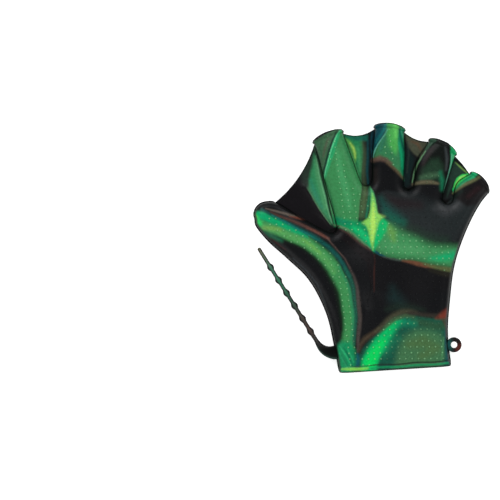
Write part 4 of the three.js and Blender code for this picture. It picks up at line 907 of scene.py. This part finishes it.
def noise(tree, scale, detail, roughness=0.5):
    """Noise read in the object's own metres."""
    spot = tree.nodes.new("ShaderNodeTexCoord")
    cloud = tree.nodes.new("ShaderNodeTexNoise")
    cloud.inputs["Scale"].default_value = scale
    cloud.inputs["Detail"].default_value = detail
    cloud.inputs["Roughness"].default_value = roughness
    tree.links.new(spot.outputs["Object"], cloud.inputs["Vector"])
    return cloud.outputs["Fac"]


def spread(tree, value, before, after):
    """A value carried from one range over to another."""
    ranged = tree.nodes.new("ShaderNodeMapRange")
    for name, limit in zip(("From Min", "From Max", "To Min", "To Max"), (*before, *after)):
        ranged.inputs[name].default_value = limit
    tree.links.new(value, ranged.inputs["Value"])
    return ranged.outputs["Result"]


def silicone():
    """Satin silicone: its colour from the mesh, finely mottled, with a dull moulded skin."""
    material = bpy.data.materials.new("silicone")
    material.use_nodes = True
    tree = material.node_tree
    shader = tree.nodes["Principled BSDF"]
    shader.inputs["Specular IOR Level"].default_value = 0.16
    shader.inputs["IOR"].default_value = 1.42

    colour = tree.nodes.new("ShaderNodeVertexColor")
    colour.layer_name = "marbling_and_painted_light"
    mottled = tree.nodes.new("ShaderNodeMix")
    mottled.data_type = "RGBA"
    mottled.blend_type = "MULTIPLY"
    mottled.inputs["Factor"].default_value = 1
    tree.links.new(colour.outputs["Color"], mottled.inputs["A"])
    shade = spread(tree, noise(tree, 560, 5, 0.6), (0.3, 0.7), (0.82, 1.16))
    tree.links.new(shade, mottled.inputs["B"])
    tree.links.new(mottled.outputs["Result"], shader.inputs["Base Color"])

    wear = spread(tree, noise(tree, 60, 3), (0, 1), (0.3, 0.42))
    tree.links.new(wear, shader.inputs["Roughness"])

    bump = tree.nodes.new("ShaderNodeBump")
    bump.inputs["Strength"].default_value = 0.1
    bump.inputs["Distance"].default_value = 0.0001
    tree.links.new(noise(tree, 2600, 2), bump.inputs["Height"])
    tree.links.new(bump.outputs["Normal"], shader.inputs["Normal"])
    return material


SILICONE = silicone()


def shaded_towards_edge(colours, distance, width, strength):
    """Colours with painted shade that darkens them towards an edge."""
    cover = strength * (1 - smoothstep(distance, 0.3 * width, width))[:, None]
    return colours + (linear(EDGE_SHADE) - colours) * cover


class Patchwork:
    """Points, faces and colours that are gathered into one piece."""

    def __init__(self):
        self.points = []
        self.faces = []
        self.colours = []
        self.count = 0

    def add(self, points, faces, colours):
        """Adds faces, which count from the first of the points."""
        self.points.append(points)
        self.colours.append(colours)
        self.faces += (np.asarray(faces) + self.count).tolist()
        self.count += len(points)

    def add_rows(self, rows, colours, turned_over=False):
        """Adds the skin through rows of points, with a colour for each place along a row."""
        numbers = np.arange(rows.shape[0] * rows.shape[1]).reshape(rows.shape[:2])
        faces = quads_of(numbers)
        self.add(rows.reshape(-1, 3), faces[:, ::-1] if turned_over else faces,
                 np.tile(colours, (rows.shape[0], 1)))

    def piece(self, name):
        return new_piece(name, np.concatenate(self.points), self.faces,
                         np.concatenate(self.colours), SILICONE)


def thinned(grid):
    """Every second row and column of a grid, with its last row kept."""
    rows = sorted(set(range(0, grid.shape[0], 2)) | {grid.shape[0] - 1})
    return grid[rows][:, ::2]


def turned(points):
    """Places mirrored about the cuff's middle, where the back's marbling is read."""
    return np.column_stack([-points[:, 0] * 0.94 + 4, points[:, 1] * 0.97 + 3])


def lip_rows(outer, inner, out):
    """Rows of a half-round lip, from an outer edge over to the inner one."""
    angles = np.linspace(0, math.pi, LIP_ROWS + 1)[:, None, None]
    return (outer + inner) / 2 + (outer - inner) / 2 * np.cos(angles) + out * LIP * np.sin(angles)


def unit(vectors):
    return vectors / np.maximum(np.linalg.norm(vectors, axis=-1, keepdims=True), 1e-9)


class Skins:
    """The moulding's outer and inner skin. A lower place on a seam is the upper one."""

    def __init__(self):
        self.distance = seam_distance(plan)
        on_seam = self.distance < ON_SEAM
        upper = np.column_stack([plan, upper_height(plan, self.distance)])
        lower = np.column_stack([plan, lower_height(self.distance)])[~on_seam]
        self.below = np.arange(len(plan))
        self.below[~on_seam] = len(plan) + np.arange(len(lower))
        self.middle = np.concatenate([upper, lower])
        beads = np.concatenate([bead, bead[~on_seam]])
        quads = np.concatenate([quads_of(grid) for grid in grids]
                               + [self.below[quads_of(grid)][:, ::-1] for grid in grids])
        normals = vertex_normals(self.middle, quads)
        self.outer = self.middle + normals * beads[:, None]
        self.outer[:, 2] = np.maximum(self.outer[:, 2], 0)
        self.inner = self.middle - normals * WALL


def used_only(faces):
    """The numbers that faces use, and the faces counted among those."""
    used, number = np.unique(faces, return_inverse=True)
    return used, number.reshape(faces.shape)


# Thin bead along the mould's parting line, coloured with painted shade for the dark contour of the glove's
# sides
PARTING_RADIUS = 0.7
PARTING_OUT = 0.15
PARTING_STEP = 0.8
PARTING_TAPER = 2.5
PARTING_SIDES = 12
PARTING_SHADE = 0.12

# Each rim as the numbers along its edge and along the row behind it, and whether it is the cuff
RIMS = [(grids[0][0], grids[0][1], True)] + [(grid[-1], grid[-2], False) for grid in grids[2:]]


def make_palm_side(skins):
    """The palm side at full density, with the upper half of each rim's lip."""
    patches = Patchwork()
    colours = shaded_towards_edge(marbled_and_painted_light(plan), skins.distance, EDGE_SHADE_WIDTH, 0.95)
    colours = shaded_towards_edge(colours, border_distance(plan), BORDER_SHADE_WIDTH, 0.9)
    patches.add(skins.outer[:len(plan)], np.concatenate([quads_of(grid) for grid in grids]), colours)
    for edge, behind, is_cuff in RIMS:
        out = unit(skins.middle[edge] - skins.middle[behind])
        rows = lip_rows(skins.outer[edge], skins.inner[edge], out)
        patches.add_rows(rows, colours[edge] * LIP_SHADE, is_cuff)
    return patches.piece("glove_palm_side")


def make_back_side(skins):
    """The back, the lower half of each lip and the inside, at half density."""
    patches = Patchwork()
    coarse = [thinned(grid) for grid in grids]
    back = np.concatenate([skins.below[quads_of(grid)][:, ::-1] for grid in coarse])
    used, faces = used_only(back)
    shade = shaded_towards_edge(marbled_and_painted_light(turned(skins.middle[used])), seam_distance(skins.middle[used][:, :2]),
                     EDGE_SHADE_WIDTH, 0.8)
    patches.add(skins.outer[used], faces, shade)
    inside = np.concatenate([quads_of(grid)[:, ::-1] for grid in coarse]
                            + [skins.below[quads_of(grid)] for grid in coarse])
    used, faces = used_only(inside)
    patches.add(skins.inner[used], faces, marbled_and_painted_light(turned(skins.middle[used])) * INSIDE_SHADE)
    for edge, behind, is_cuff in RIMS:
        edge, behind = skins.below[edge[::2]], skins.below[behind[::2]]
        out = unit(skins.middle[edge] - skins.middle[behind])
        rows = lip_rows(skins.outer[edge], skins.inner[edge], out)
        shade = marbled_and_painted_light(turned(skins.middle[edge])) * LIP_SHADE
        patches.add_rows(rows, shade, not is_cuff)
    return patches.piece("glove_back_side")


def make_shaded_parting_line():
    """The thin bead that the mould leaves along the glove's two outer sides, coloured dark with painted
    shade.
    """
    patches = Patchwork()
    for seam, end in ((THUMB_SEAM, "web"), (LITTLE_SEAM, last_of(LITTLE_SEAM))):
        line = stretch_of(seam, 0, end)
        stations = np.linspace(0, line.length, int(line.length / PARTING_STEP))
        middle = line.at(stations)
        forward = unit(np.gradient(middle, axis=0))
        outward = np.column_stack([-forward[:, 1], forward[:, 0]])
        from_end = np.minimum(stations, line.length - stations)
        radius = PARTING_RADIUS * np.sqrt(np.clip(from_end / PARTING_TAPER, 0.01, 1))
        rows = []
        for angle in np.linspace(math.pi, -math.pi, PARTING_SIDES + 1):
            across = (PARTING_OUT + radius * math.cos(angle))[:, None] * outward
            rows.append(np.column_stack([middle + across, SEAM_HEIGHT + radius * math.sin(angle)]))
        patches.add_rows(np.array(rows), marbled_and_painted_light(middle) * PARTING_SHADE)
    return patches.piece("shaded_parting_line")


# Webs: cells across and along, reach of the roots into the walls, distances of the rows that round
# the free edge off, and the width and strength of the painted shade along that edge
WEB_ACROSS = 56
WEB_ALONG = 84
WEB_ROOT = 0.5
WEB_EDGE = (0.45, 0.2, 0.06)
WEB_EDGE_SHADE_WIDTH = 1.3
WEB_EDGE_SHADE_STRENGTH = 0.85


def make_webs():
    """The four webs, each a closed sheet whose roots reach a little into the walls."""
    points, faces, colours = [], [], []
    count = 0
    for i, crotch in enumerate(CROTCHES):
        grid = web_grid(SEAMS[i], crotch)
        flat = grid.reshape(-1, 2)
        rows, columns = grid.shape[:2]
        distance = seam_distance(flat)
        height = SEAM_HEIGHT + np.minimum(distance / EDGE_ROUND, 1) * fold_rise(WEB_FOLDS, flat)
        edge = distance_to_line(grid[-1], flat)
        half = WEB_THICKNESS / 2 * np.sqrt(1 - (1 - np.minimum(edge / (WEB_THICKNESS / 2), 1)) ** 2)
        top = np.column_stack([flat, height + half])
        bottom = np.column_stack([flat, height - half])
        numbers = np.arange(rows * columns).reshape(rows, columns)
        under = numbers + rows * columns
        under[-1] = numbers[-1]
        faces += (quads_of(numbers) + count).tolist()
        faces += (quads_of(under)[:, ::-1] + count).tolist()
        faces += edge_faces(numbers[0][::-1], under[0][::-1], count)
        faces += edge_faces(numbers[:, 0], under[:, 0], count)
        faces += edge_faces(numbers[::-1, -1], under[::-1, -1], count)
        points += [top, bottom]
        colours += [shaded_towards_edge(marbled_and_painted_light(flat), edge, WEB_EDGE_SHADE_WIDTH, WEB_EDGE_SHADE_STRENGTH), marbled_and_painted_light(turned(flat))]
        count += 2 * rows * columns
    return new_piece("glove_webs", np.concatenate(points), faces, np.concatenate(colours), SILICONE)


def edge_faces(top, bottom, count):
    """Faces that close a sheet between its two sides along one edge."""
    faces = []
    for k in range(len(top) - 1):
        corners = [top[k], top[k + 1], bottom[k + 1], bottom[k]]
        faces.append([int(corner) + count for corner in dict.fromkeys(corners)])
    return [face for face in faces if len(face) > 2]


def web_grid(seam, crotch):
    """Plan grid of a web, from the round bottom of its crotch to its free edge."""
    marks = seam[1]
    left = stretch_of(seam, "crotch", "tip" if "tip" in marks else "web")
    right = stretch_of(seam, "crotch", "rim")
    neck = RIM_BEAD_WIDTH + BEAD_FLANK
    left_end = stretch_of(seam, "crotch", "web").length if "tip" in marks else left.length - neck
    around = np.linspace(0, QUARTER_ARC, WEB_ACROSS // 2 + 1)
    south = np.concatenate([left.at(around)[::-1], right.at(around)[1:]])
    steps = np.linspace(0, 1, WEB_ALONG + 1)
    west = left.at(QUARTER_ARC + (left_end - QUARTER_ARC) * steps)
    east = right.at(QUARTER_ARC + (right.length - neck - QUARTER_ARC) * steps)
    width = np.linalg.norm(east[-1] - west[-1])
    north = arched(west[-1], east[-1], -crotch["sag"] * width, np.linspace(0, 1, WEB_ACROSS + 1))
    grid = relaxed(fill(south, north, west, east), WEB_RELAXING)
    # Rows that round the free edge off
    last, before = grid[-1], grid[-2]
    gap = np.linalg.norm(last - before, axis=1, keepdims=True)
    fine = [last + (before - last) * np.minimum(step / np.maximum(gap, 1e-6), 0.9) for step in WEB_EDGE]
    grid = np.concatenate([grid[:-1], np.array(fine), grid[-1:]])
    # Roots that reach into the walls
    grid[:, 0] += WEB_ROOT * unit(grid[:, 0] - grid[:, 1])
    grid[:, -1] += WEB_ROOT * unit(grid[:, -1] - grid[:, -2])
    grid[0] += WEB_ROOT * unit(grid[0] - grid[1])
    return grid


# The dots' rows and columns in the photo: first dot, step to the right and step down
DOT_FIRST = (337, 165.5)
DOT_RIGHT = (6.2, -0.05)
DOT_DOWN = (0.75, 5.85)
DOT_RANGE = 45
DOT_SIDES = 8
DOT_CUFF_GAP = 2.5

# Rings of a dot from its foot up: reach and height as shares of its radius and its rise
DOT_RINGS = [(1.0, -0.25), (0.94, 0.35), (0.62, 0.85)]


def dot_places():
    """Plan places of the dots, kept clear of the seams, the webs and the cuff's bead."""
    steps = np.arange(-DOT_RANGE, DOT_RANGE)
    across, down = np.meshgrid(steps, steps)
    pixels = (np.array(DOT_FIRST) + across.reshape(-1, 1) * np.array(DOT_RIGHT)
              + down.reshape(-1, 1) * np.array(DOT_DOWN))
    spots = np.column_stack([(pixels[:, 0] - PHOTO_X) * PIXEL, (PHOTO_Y - pixels[:, 1]) * PIXEL])
    spots = spots[inside_glove(spots)]
    in_finger = (spots[:, 1] > DOT_SLEEVE_START * LENGTH) | (spots[:, 0] < DOT_THUMB_END * SPAN)
    margin = np.where(in_finger, DOT_SLEEVE_MARGIN, DOT_MARGIN)
    clear_of_cuff = spots[:, 1] > CUFF_BEAD_WIDTH + DOT_CUFF_GAP
    return spots[(seam_distance(spots) > margin) & clear_of_cuff]


def dot_shape():
    """One dot: its plan places, heights and faces, with its top in the last place."""
    angles = np.arange(DOT_SIDES) * 2 * math.pi / DOT_SIDES
    circle = np.column_stack([np.cos(angles), np.sin(angles)]) * DOT_RADIUS
    flat = np.concatenate([circle * reach for reach, _ in DOT_RINGS] + [np.zeros((1, 2))])
    lift = np.repeat([rise for _, rise in DOT_RINGS], DOT_SIDES)
    after = np.roll(np.arange(DOT_SIDES), -1).tolist()
    faces = []
    for a in range(0, (len(DOT_RINGS) - 1) * DOT_SIDES, DOT_SIDES):
        b = a + DOT_SIDES
        faces += [[a + k, a + after[k], b + after[k], b + k] for k in range(DOT_SIDES)]
    top = len(lift) - DOT_SIDES
    faces += [[top + k, top + after[k], len(lift)] for k in range(DOT_SIDES)]
    faces.append(list(range(DOT_SIDES))[::-1])
    return flat, np.append(lift, 1.0) * DOT_RISE, faces


def make_dots():
    """The raised grip dots of the palm side, as small round-topped studs with a painted highlight on their
    tops.
    """
    spots = dot_places()
    local, lift, one_dot = dot_shape()
    step = len(lift)
    flat = (spots[:, None] + local).reshape(-1, 2)
    ground = upper_height(flat, seam_distance(flat))
    points = np.column_stack([flat, ground + np.tile(lift, len(spots))])
    faces = [[n * step + corner for corner in face] for n in range(len(spots)) for face in one_dot]
    centres = np.repeat(marbled_and_painted_light(spots), step, axis=0)
    shine = np.tile(np.clip(lift / DOT_RISE, 0, 1), len(spots))[:, None]
    # Painted highlight towards each dot's top, only where the rubber is green
    green = smoothstep(centres[:, 1] - centres[:, 2], *DOT_GREEN)[:, None]
    colours = centres + (linear(DOT_HIGHLIGHT) - centres) * DOT_HIGHLIGHT_STRENGTH * green * shine
    return new_piece("grip_dots", points, faces, colours, SILICONE)


def inside_glove(points):
    """Whether plan places lie inside the glove's outline, webs left out."""
    border = [stretch_of(THUMB_SEAM, 0, "rim").points]
    border += [stretch_of(seam, 0, last_of(seam)).points for seam in SEAMS[1:]]
    return signed_distance(np.concatenate(border).tolist(), points) > 0


# Half widths of the strap around its bend: places as shares of the bend's reach from the corner
STRAP_NARROWING = [(-0.9, 1), (-0.4, 0.84), (0.2, 0.64), (0.8, 0.44), (1.4, 0.3)]
STRAP_SIDES = 20
STRAP_STEP = 0.4
STRAP_ROOT = 0.9
STRAP_RUN = STRAP_FIRST_BEAD + (STRAP_BEADS - 1) * STRAP_PITCH + STRAP_TAIL

# The flat root's section is squarer than the round run's, and turns round from here on
STRAP_SQUARE = 0.45
STRAP_ROUND_FROM = 0.2

# Colours along the strap, as shares of its length
STRAP_COLOURS = [(0, "#181617"), (0.1, "#1d1b1c"), (0.2, "#262523"), (0.3, "#332825"), (0.42, "#2b2b26"),
                 (0.55, "#22392e"), (0.68, "#234c38"), (0.8, "#28513f"), (0.9, "#3c4a3c"), (1, "#484838")]
STRAP_STOPS = [share for share, _ in STRAP_COLOURS]
STRAP_PAINTS = np.array([linear(paint) for _, paint in STRAP_COLOURS])
# Painted shade on the strap's sides, a painted highlight on the flat root's bevel, and how much the
# painted highlight on the crest brightens the colour
STRAP_SIDE_SHADE = linear("#080a09")
STRAP_BEVEL_HIGHLIGHT = linear("#3f5e52")
STRAP_CREST_HIGHLIGHT = 2.2


def place_at(line, up):
    return np.array([np.interp(up, *order(line[:, 1], line[:, 0])), up])


def order(keys, values):
    index = np.argsort(keys)
    return keys[index], values[index]


def strap_route():
    """The strap's middle in the plan, from inside the cuff to its free end, and its bend's corner."""
    side = stretch_of(THUMB_SEAM, 0, "base").points
    root = place_at(side, STRAP_UP)
    run_heading = heading(STRAP_TURN)
    corner = root - np.array([STRAP_TAB_LENGTH, 0])
    start = corner + np.array([STRAP_BEND, 0])
    end = corner + run_heading * STRAP_BEND
    t = np.linspace(0, 1, 25)[:, None]
    bend = (1 - t) ** 2 * start + 2 * t * (1 - t) * corner + t ** 2 * end
    tab = np.linspace(root + np.array([STRAP_ROOT, 0]), start, 8)[:-1]
    run = np.linspace(end, corner + run_heading * STRAP_RUN, 60)[1:]
    return np.concatenate([tab, bend, run]), corner


def strap_sizes(past, tip_back):
    """Half width, half thickness and roundness at distances past the bend and back from the tip."""
    core = (STRAP_CORE + (STRAP_TAIL_CORE - STRAP_CORE) * np.clip(past / STRAP_RUN, 0, 1)) / 2
    shares = past / STRAP_BEND
    narrow_end = STRAP_NARROWING[-1][0]
    tab = np.interp(shares, *zip(*STRAP_NARROWING))
    width = np.where(shares < narrow_end, np.maximum(tab * STRAP_TAB_WIDTH / 2, core), core)
    roundness = smoothstep(shares, STRAP_ROUND_FROM, narrow_end)
    thick = STRAP_THICKNESS / 2 * (1 - roundness) + core * roundness
    for n in range(STRAP_BEADS):
        from_bead = np.abs(tip_back - STRAP_TAIL - n * STRAP_PITCH) / (STRAP_BEAD_LENGTH / 2)
        bulge = (STRAP_BEAD / 2 - core) * np.clip(1.25 - from_bead * 1.25, 0, 1) ** 0.8
        width = width + bulge
        thick = thick + bulge
    close = np.clip(tip_back / (STRAP_TAIL_CORE / 2), 0, 1)
    close = np.sqrt(np.clip(1 - (1 - close) ** 2, 0.02, 1))
    return width * close, thick * close, roundness


def strap_paint(share, c, s, roundness):
    """Colours round the strap: a painted highlight on the crest between sides in painted shade, and a
    painted highlight on the bevel along its flat root.
    """
    paint = np.array([np.interp(share, STRAP_STOPS, STRAP_PAINTS[:, k]) for k in range(3)])
    crest = smoothstep(s, 0.8, 0.99)[:, None] * roundness
    shade = STRAP_SIDE_SHADE + (paint * STRAP_CREST_HIGHLIGHT - STRAP_SIDE_SHADE) * crest
    bevel = (smoothstep(c, 0.2, 0.9) * smoothstep(s, -0.6, 0.3))[:, None] * (1 - roundness)
    return shade + (STRAP_BEVEL_HIGHLIGHT - shade) * bevel * 0.6


def ring_faces(rings, sides, closed):
    """Faces of a tube through rings of places, which may close on itself."""
    faces = []
    for n in range(rings if closed else rings - 1):
        a, b = n * sides, (n + 1) % rings * sides
        for k in range(sides):
            after = (k + 1) % sides
            faces.append([a + k, b + k, b + after, a + after])
    return faces


def make_strap():
    """The beaded strap: from its flat root on the cuff round the bend and along its six beads."""
    route, corner = strap_route()
    travelled = travel_along(route)
    length = travelled[-1]
    stations = np.linspace(0, length, int(length / STRAP_STEP))
    middle = np.column_stack([np.interp(stations, travelled, route[:, k]) for k in (0, 1)])
    past = stations - travelled[np.argmin(np.linalg.norm(route - corner, axis=1))]
    width, thick, roundness = strap_sizes(past, length - stations)
    sink = smoothstep(past + STRAP_TAB_LENGTH, STRAP_TAB_LENGTH / 2, STRAP_TAB_LENGTH + STRAP_FIRST_BEAD)
    z = SEAM_HEIGHT + (STRAP_BEAD / 2 - SEAM_HEIGHT) * sink
    forward = unit(np.gradient(middle, axis=0))
    sideways = np.column_stack([-forward[:, 1], forward[:, 0]])
    angles = np.arange(STRAP_SIDES) * 2 * math.pi / STRAP_SIDES
    c, s = np.cos(angles), np.sin(angles)
    power = STRAP_SQUARE + (1 - STRAP_SQUARE) * roundness
    points, colours = [], []
    for n in range(len(stations)):
        across = np.sign(c) * np.abs(c) ** power[n] * width[n]
        up = np.sign(s) * np.abs(s) ** power[n] * thick[n]
        points.append(np.column_stack([middle[n] + across[:, None] * sideways[n], z[n] + up]))
        colours.append(strap_paint(stations[n] / length, c, s, roundness[n]))
    ends = len(stations) * STRAP_SIDES
    faces = ring_faces(len(stations), STRAP_SIDES, False)
    faces.append(list(range(STRAP_SIDES)))
    faces.append(list(range(ends - STRAP_SIDES, ends))[::-1])
    return new_piece("beaded_strap", np.concatenate(points), faces, np.concatenate(colours), SILICONE)


EYELET_SIDES = 64
EYELET_PROFILE = 20


def make_eyelet():
    """The round eyelet on the little-finger side of the cuff."""
    side = stretch_of(LITTLE_SEAM, "base", last_of(LITTLE_SEAM)).points
    root = place_at(side, EYELET_UP)
    centre = np.array([root[0] + EYELET_RADIUS - EYELET_BITE, EYELET_UP])
    middle = (EYELET_RADIUS + EYELET_HOLE) / 2
    half_width = (EYELET_RADIUS - EYELET_HOLE) / 2
    section = np.arange(EYELET_PROFILE) * 2 * math.pi / EYELET_PROFILE
    c, s = np.cos(section), np.sin(section)
    reach = middle + np.sign(c) * np.abs(c) ** 0.6 * half_width
    up = np.sign(s) * np.abs(s) ** 0.6 * EYELET_THICKNESS / 2
    points, colours = [], []
    for n in range(EYELET_SIDES):
        turn = 2 * math.pi * n / EYELET_SIDES
        direction = np.array([math.cos(turn), math.sin(turn)])
        points.append(np.column_stack([centre + reach[:, None] * direction, SEAM_HEIGHT + up]))
        teal = max(0.0, -direction[0]) ** 1.5
        red = max(0.0, direction[0]) * max(0.0, 0.6 - direction[1]) * 0.9
        paint = linear("#1d1a1a")
        paint = paint + (linear("#1c5350") - paint) * min(1, teal)
        paint = paint + (linear("#5a2a24") - paint) * min(1, red)
        colours.append(np.tile(paint, (EYELET_PROFILE, 1)))
    faces = ring_faces(EYELET_SIDES, EYELET_PROFILE, True)
    return new_piece("eyelet_ring", np.concatenate(points), faces, np.concatenate(colours), SILICONE)


def attach(piece, *nodes):
    """A piece rides on the glove's one body and stands for CAD nodes."""
    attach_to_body(piece, "root")
    if nodes:
        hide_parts(*nodes)


shell_skins = Skins()
attach(make_palm_side(shell_skins), "glove_shell")
attach(make_back_side(shell_skins), "glove_shell")
attach(make_webs(), "glove_shell")
attach(make_shaded_parting_line(), "glove_shell")
attach(make_dots(), "glove_shell")
attach(make_strap(), "wrist_strap")
attach(make_eyelet(), "strap_eyelet")

# Floor, light and camera
FLOOR_SIZE = 6
scene = bpy.context.scene
scene.view_settings.view_transform = "Standard"


def make_floor():
    """Pale paper that glows a little, so that it comes out as white as in the photo."""
    mesh = bpy.data.meshes.new("floor")
    half = FLOOR_SIZE / 2
    corners = [(-half, -half, 0), (half, -half, 0), (half, half, 0), (-half, half, 0)]
    mesh.from_pydata(corners, [], [(0, 1, 2, 3)])
    floor = bpy.data.objects.new("floor", mesh)
    scene.collection.objects.link(floor)
    paper = bpy.data.materials.new("pale_paper")
    paper.use_nodes = True
    shader = paper.node_tree.nodes["Principled BSDF"]
    shader.inputs["Base Color"].default_value = (0.93, 0.93, 0.93, 1)
    shader.inputs["Roughness"].default_value = 0.9
    shader.inputs["Specular IOR Level"].default_value = 0.1
    shader.inputs["Emission Color"].default_value = (1, 1, 1, 1)
    shader.inputs["Emission Strength"].default_value = 0.65
    mesh.materials.append(paper)
    floor.location = (0, 0, -0.0002)


def make_light(name, azimuth, elevation, distance, size, power):
    data = bpy.data.lights.new(name, "AREA")
    data.shape = "SQUARE"
    data.size = size
    data.energy = power
    light = bpy.data.objects.new(name, data)
    scene.collection.objects.link(light)
    across, up = math.radians(azimuth), math.radians(elevation)
    flat = math.cos(up)
    direction = Vector((math.sin(across) * flat, math.cos(across) * flat, math.sin(up)))
    light.location = direction * distance
    light.rotation_euler = direction.to_track_quat("Z", "Y").to_euler()


# Name, azimuth from the photo's top clockwise, elevation, distance, size and power
LIGHTS = [
    ("top_left", -35, 42, 2.0, 1.3, 21),
    ("top_right", 45, 40, 2.0, 1.3, 17),
    ("bottom_left", -135, 38, 2.0, 1.3, 12),
    ("bottom_right", 140, 38, 2.0, 1.3, 12),
]


def make_camera():
    """Straight above the floor, framed as the photo is."""
    data = bpy.data.cameras.new("camera")
    camera = bpy.data.objects.new("camera", data)
    scene.collection.objects.link(camera)
    view_width = PHOTO_SIDE * PIXEL * 0.001
    distance = CAMERA_HEIGHT * 0.001
    data.sensor_width = 36
    data.lens = data.sensor_width * distance / view_width
    data.clip_end = 20
    x = (PHOTO_SIDE / 2 - PHOTO_X) * PIXEL * 0.001 + SHIFT[0]
    y = (PHOTO_Y - PHOTO_SIDE / 2) * PIXEL * 0.001 + SHIFT[1]
    camera.location = (x, y, distance + SEAM_HEIGHT * 0.001)
    scene.camera = camera


make_floor()
for row in LIGHTS:
    make_light(*row)
make_camera()
world = bpy.data.worlds.new("studio")
world.use_nodes = True
world.node_tree.nodes["Background"].inputs["Color"].default_value = (1, 1, 1, 1)
world.node_tree.nodes["Background"].inputs["Strength"].default_value = 0.12
scene.world = world
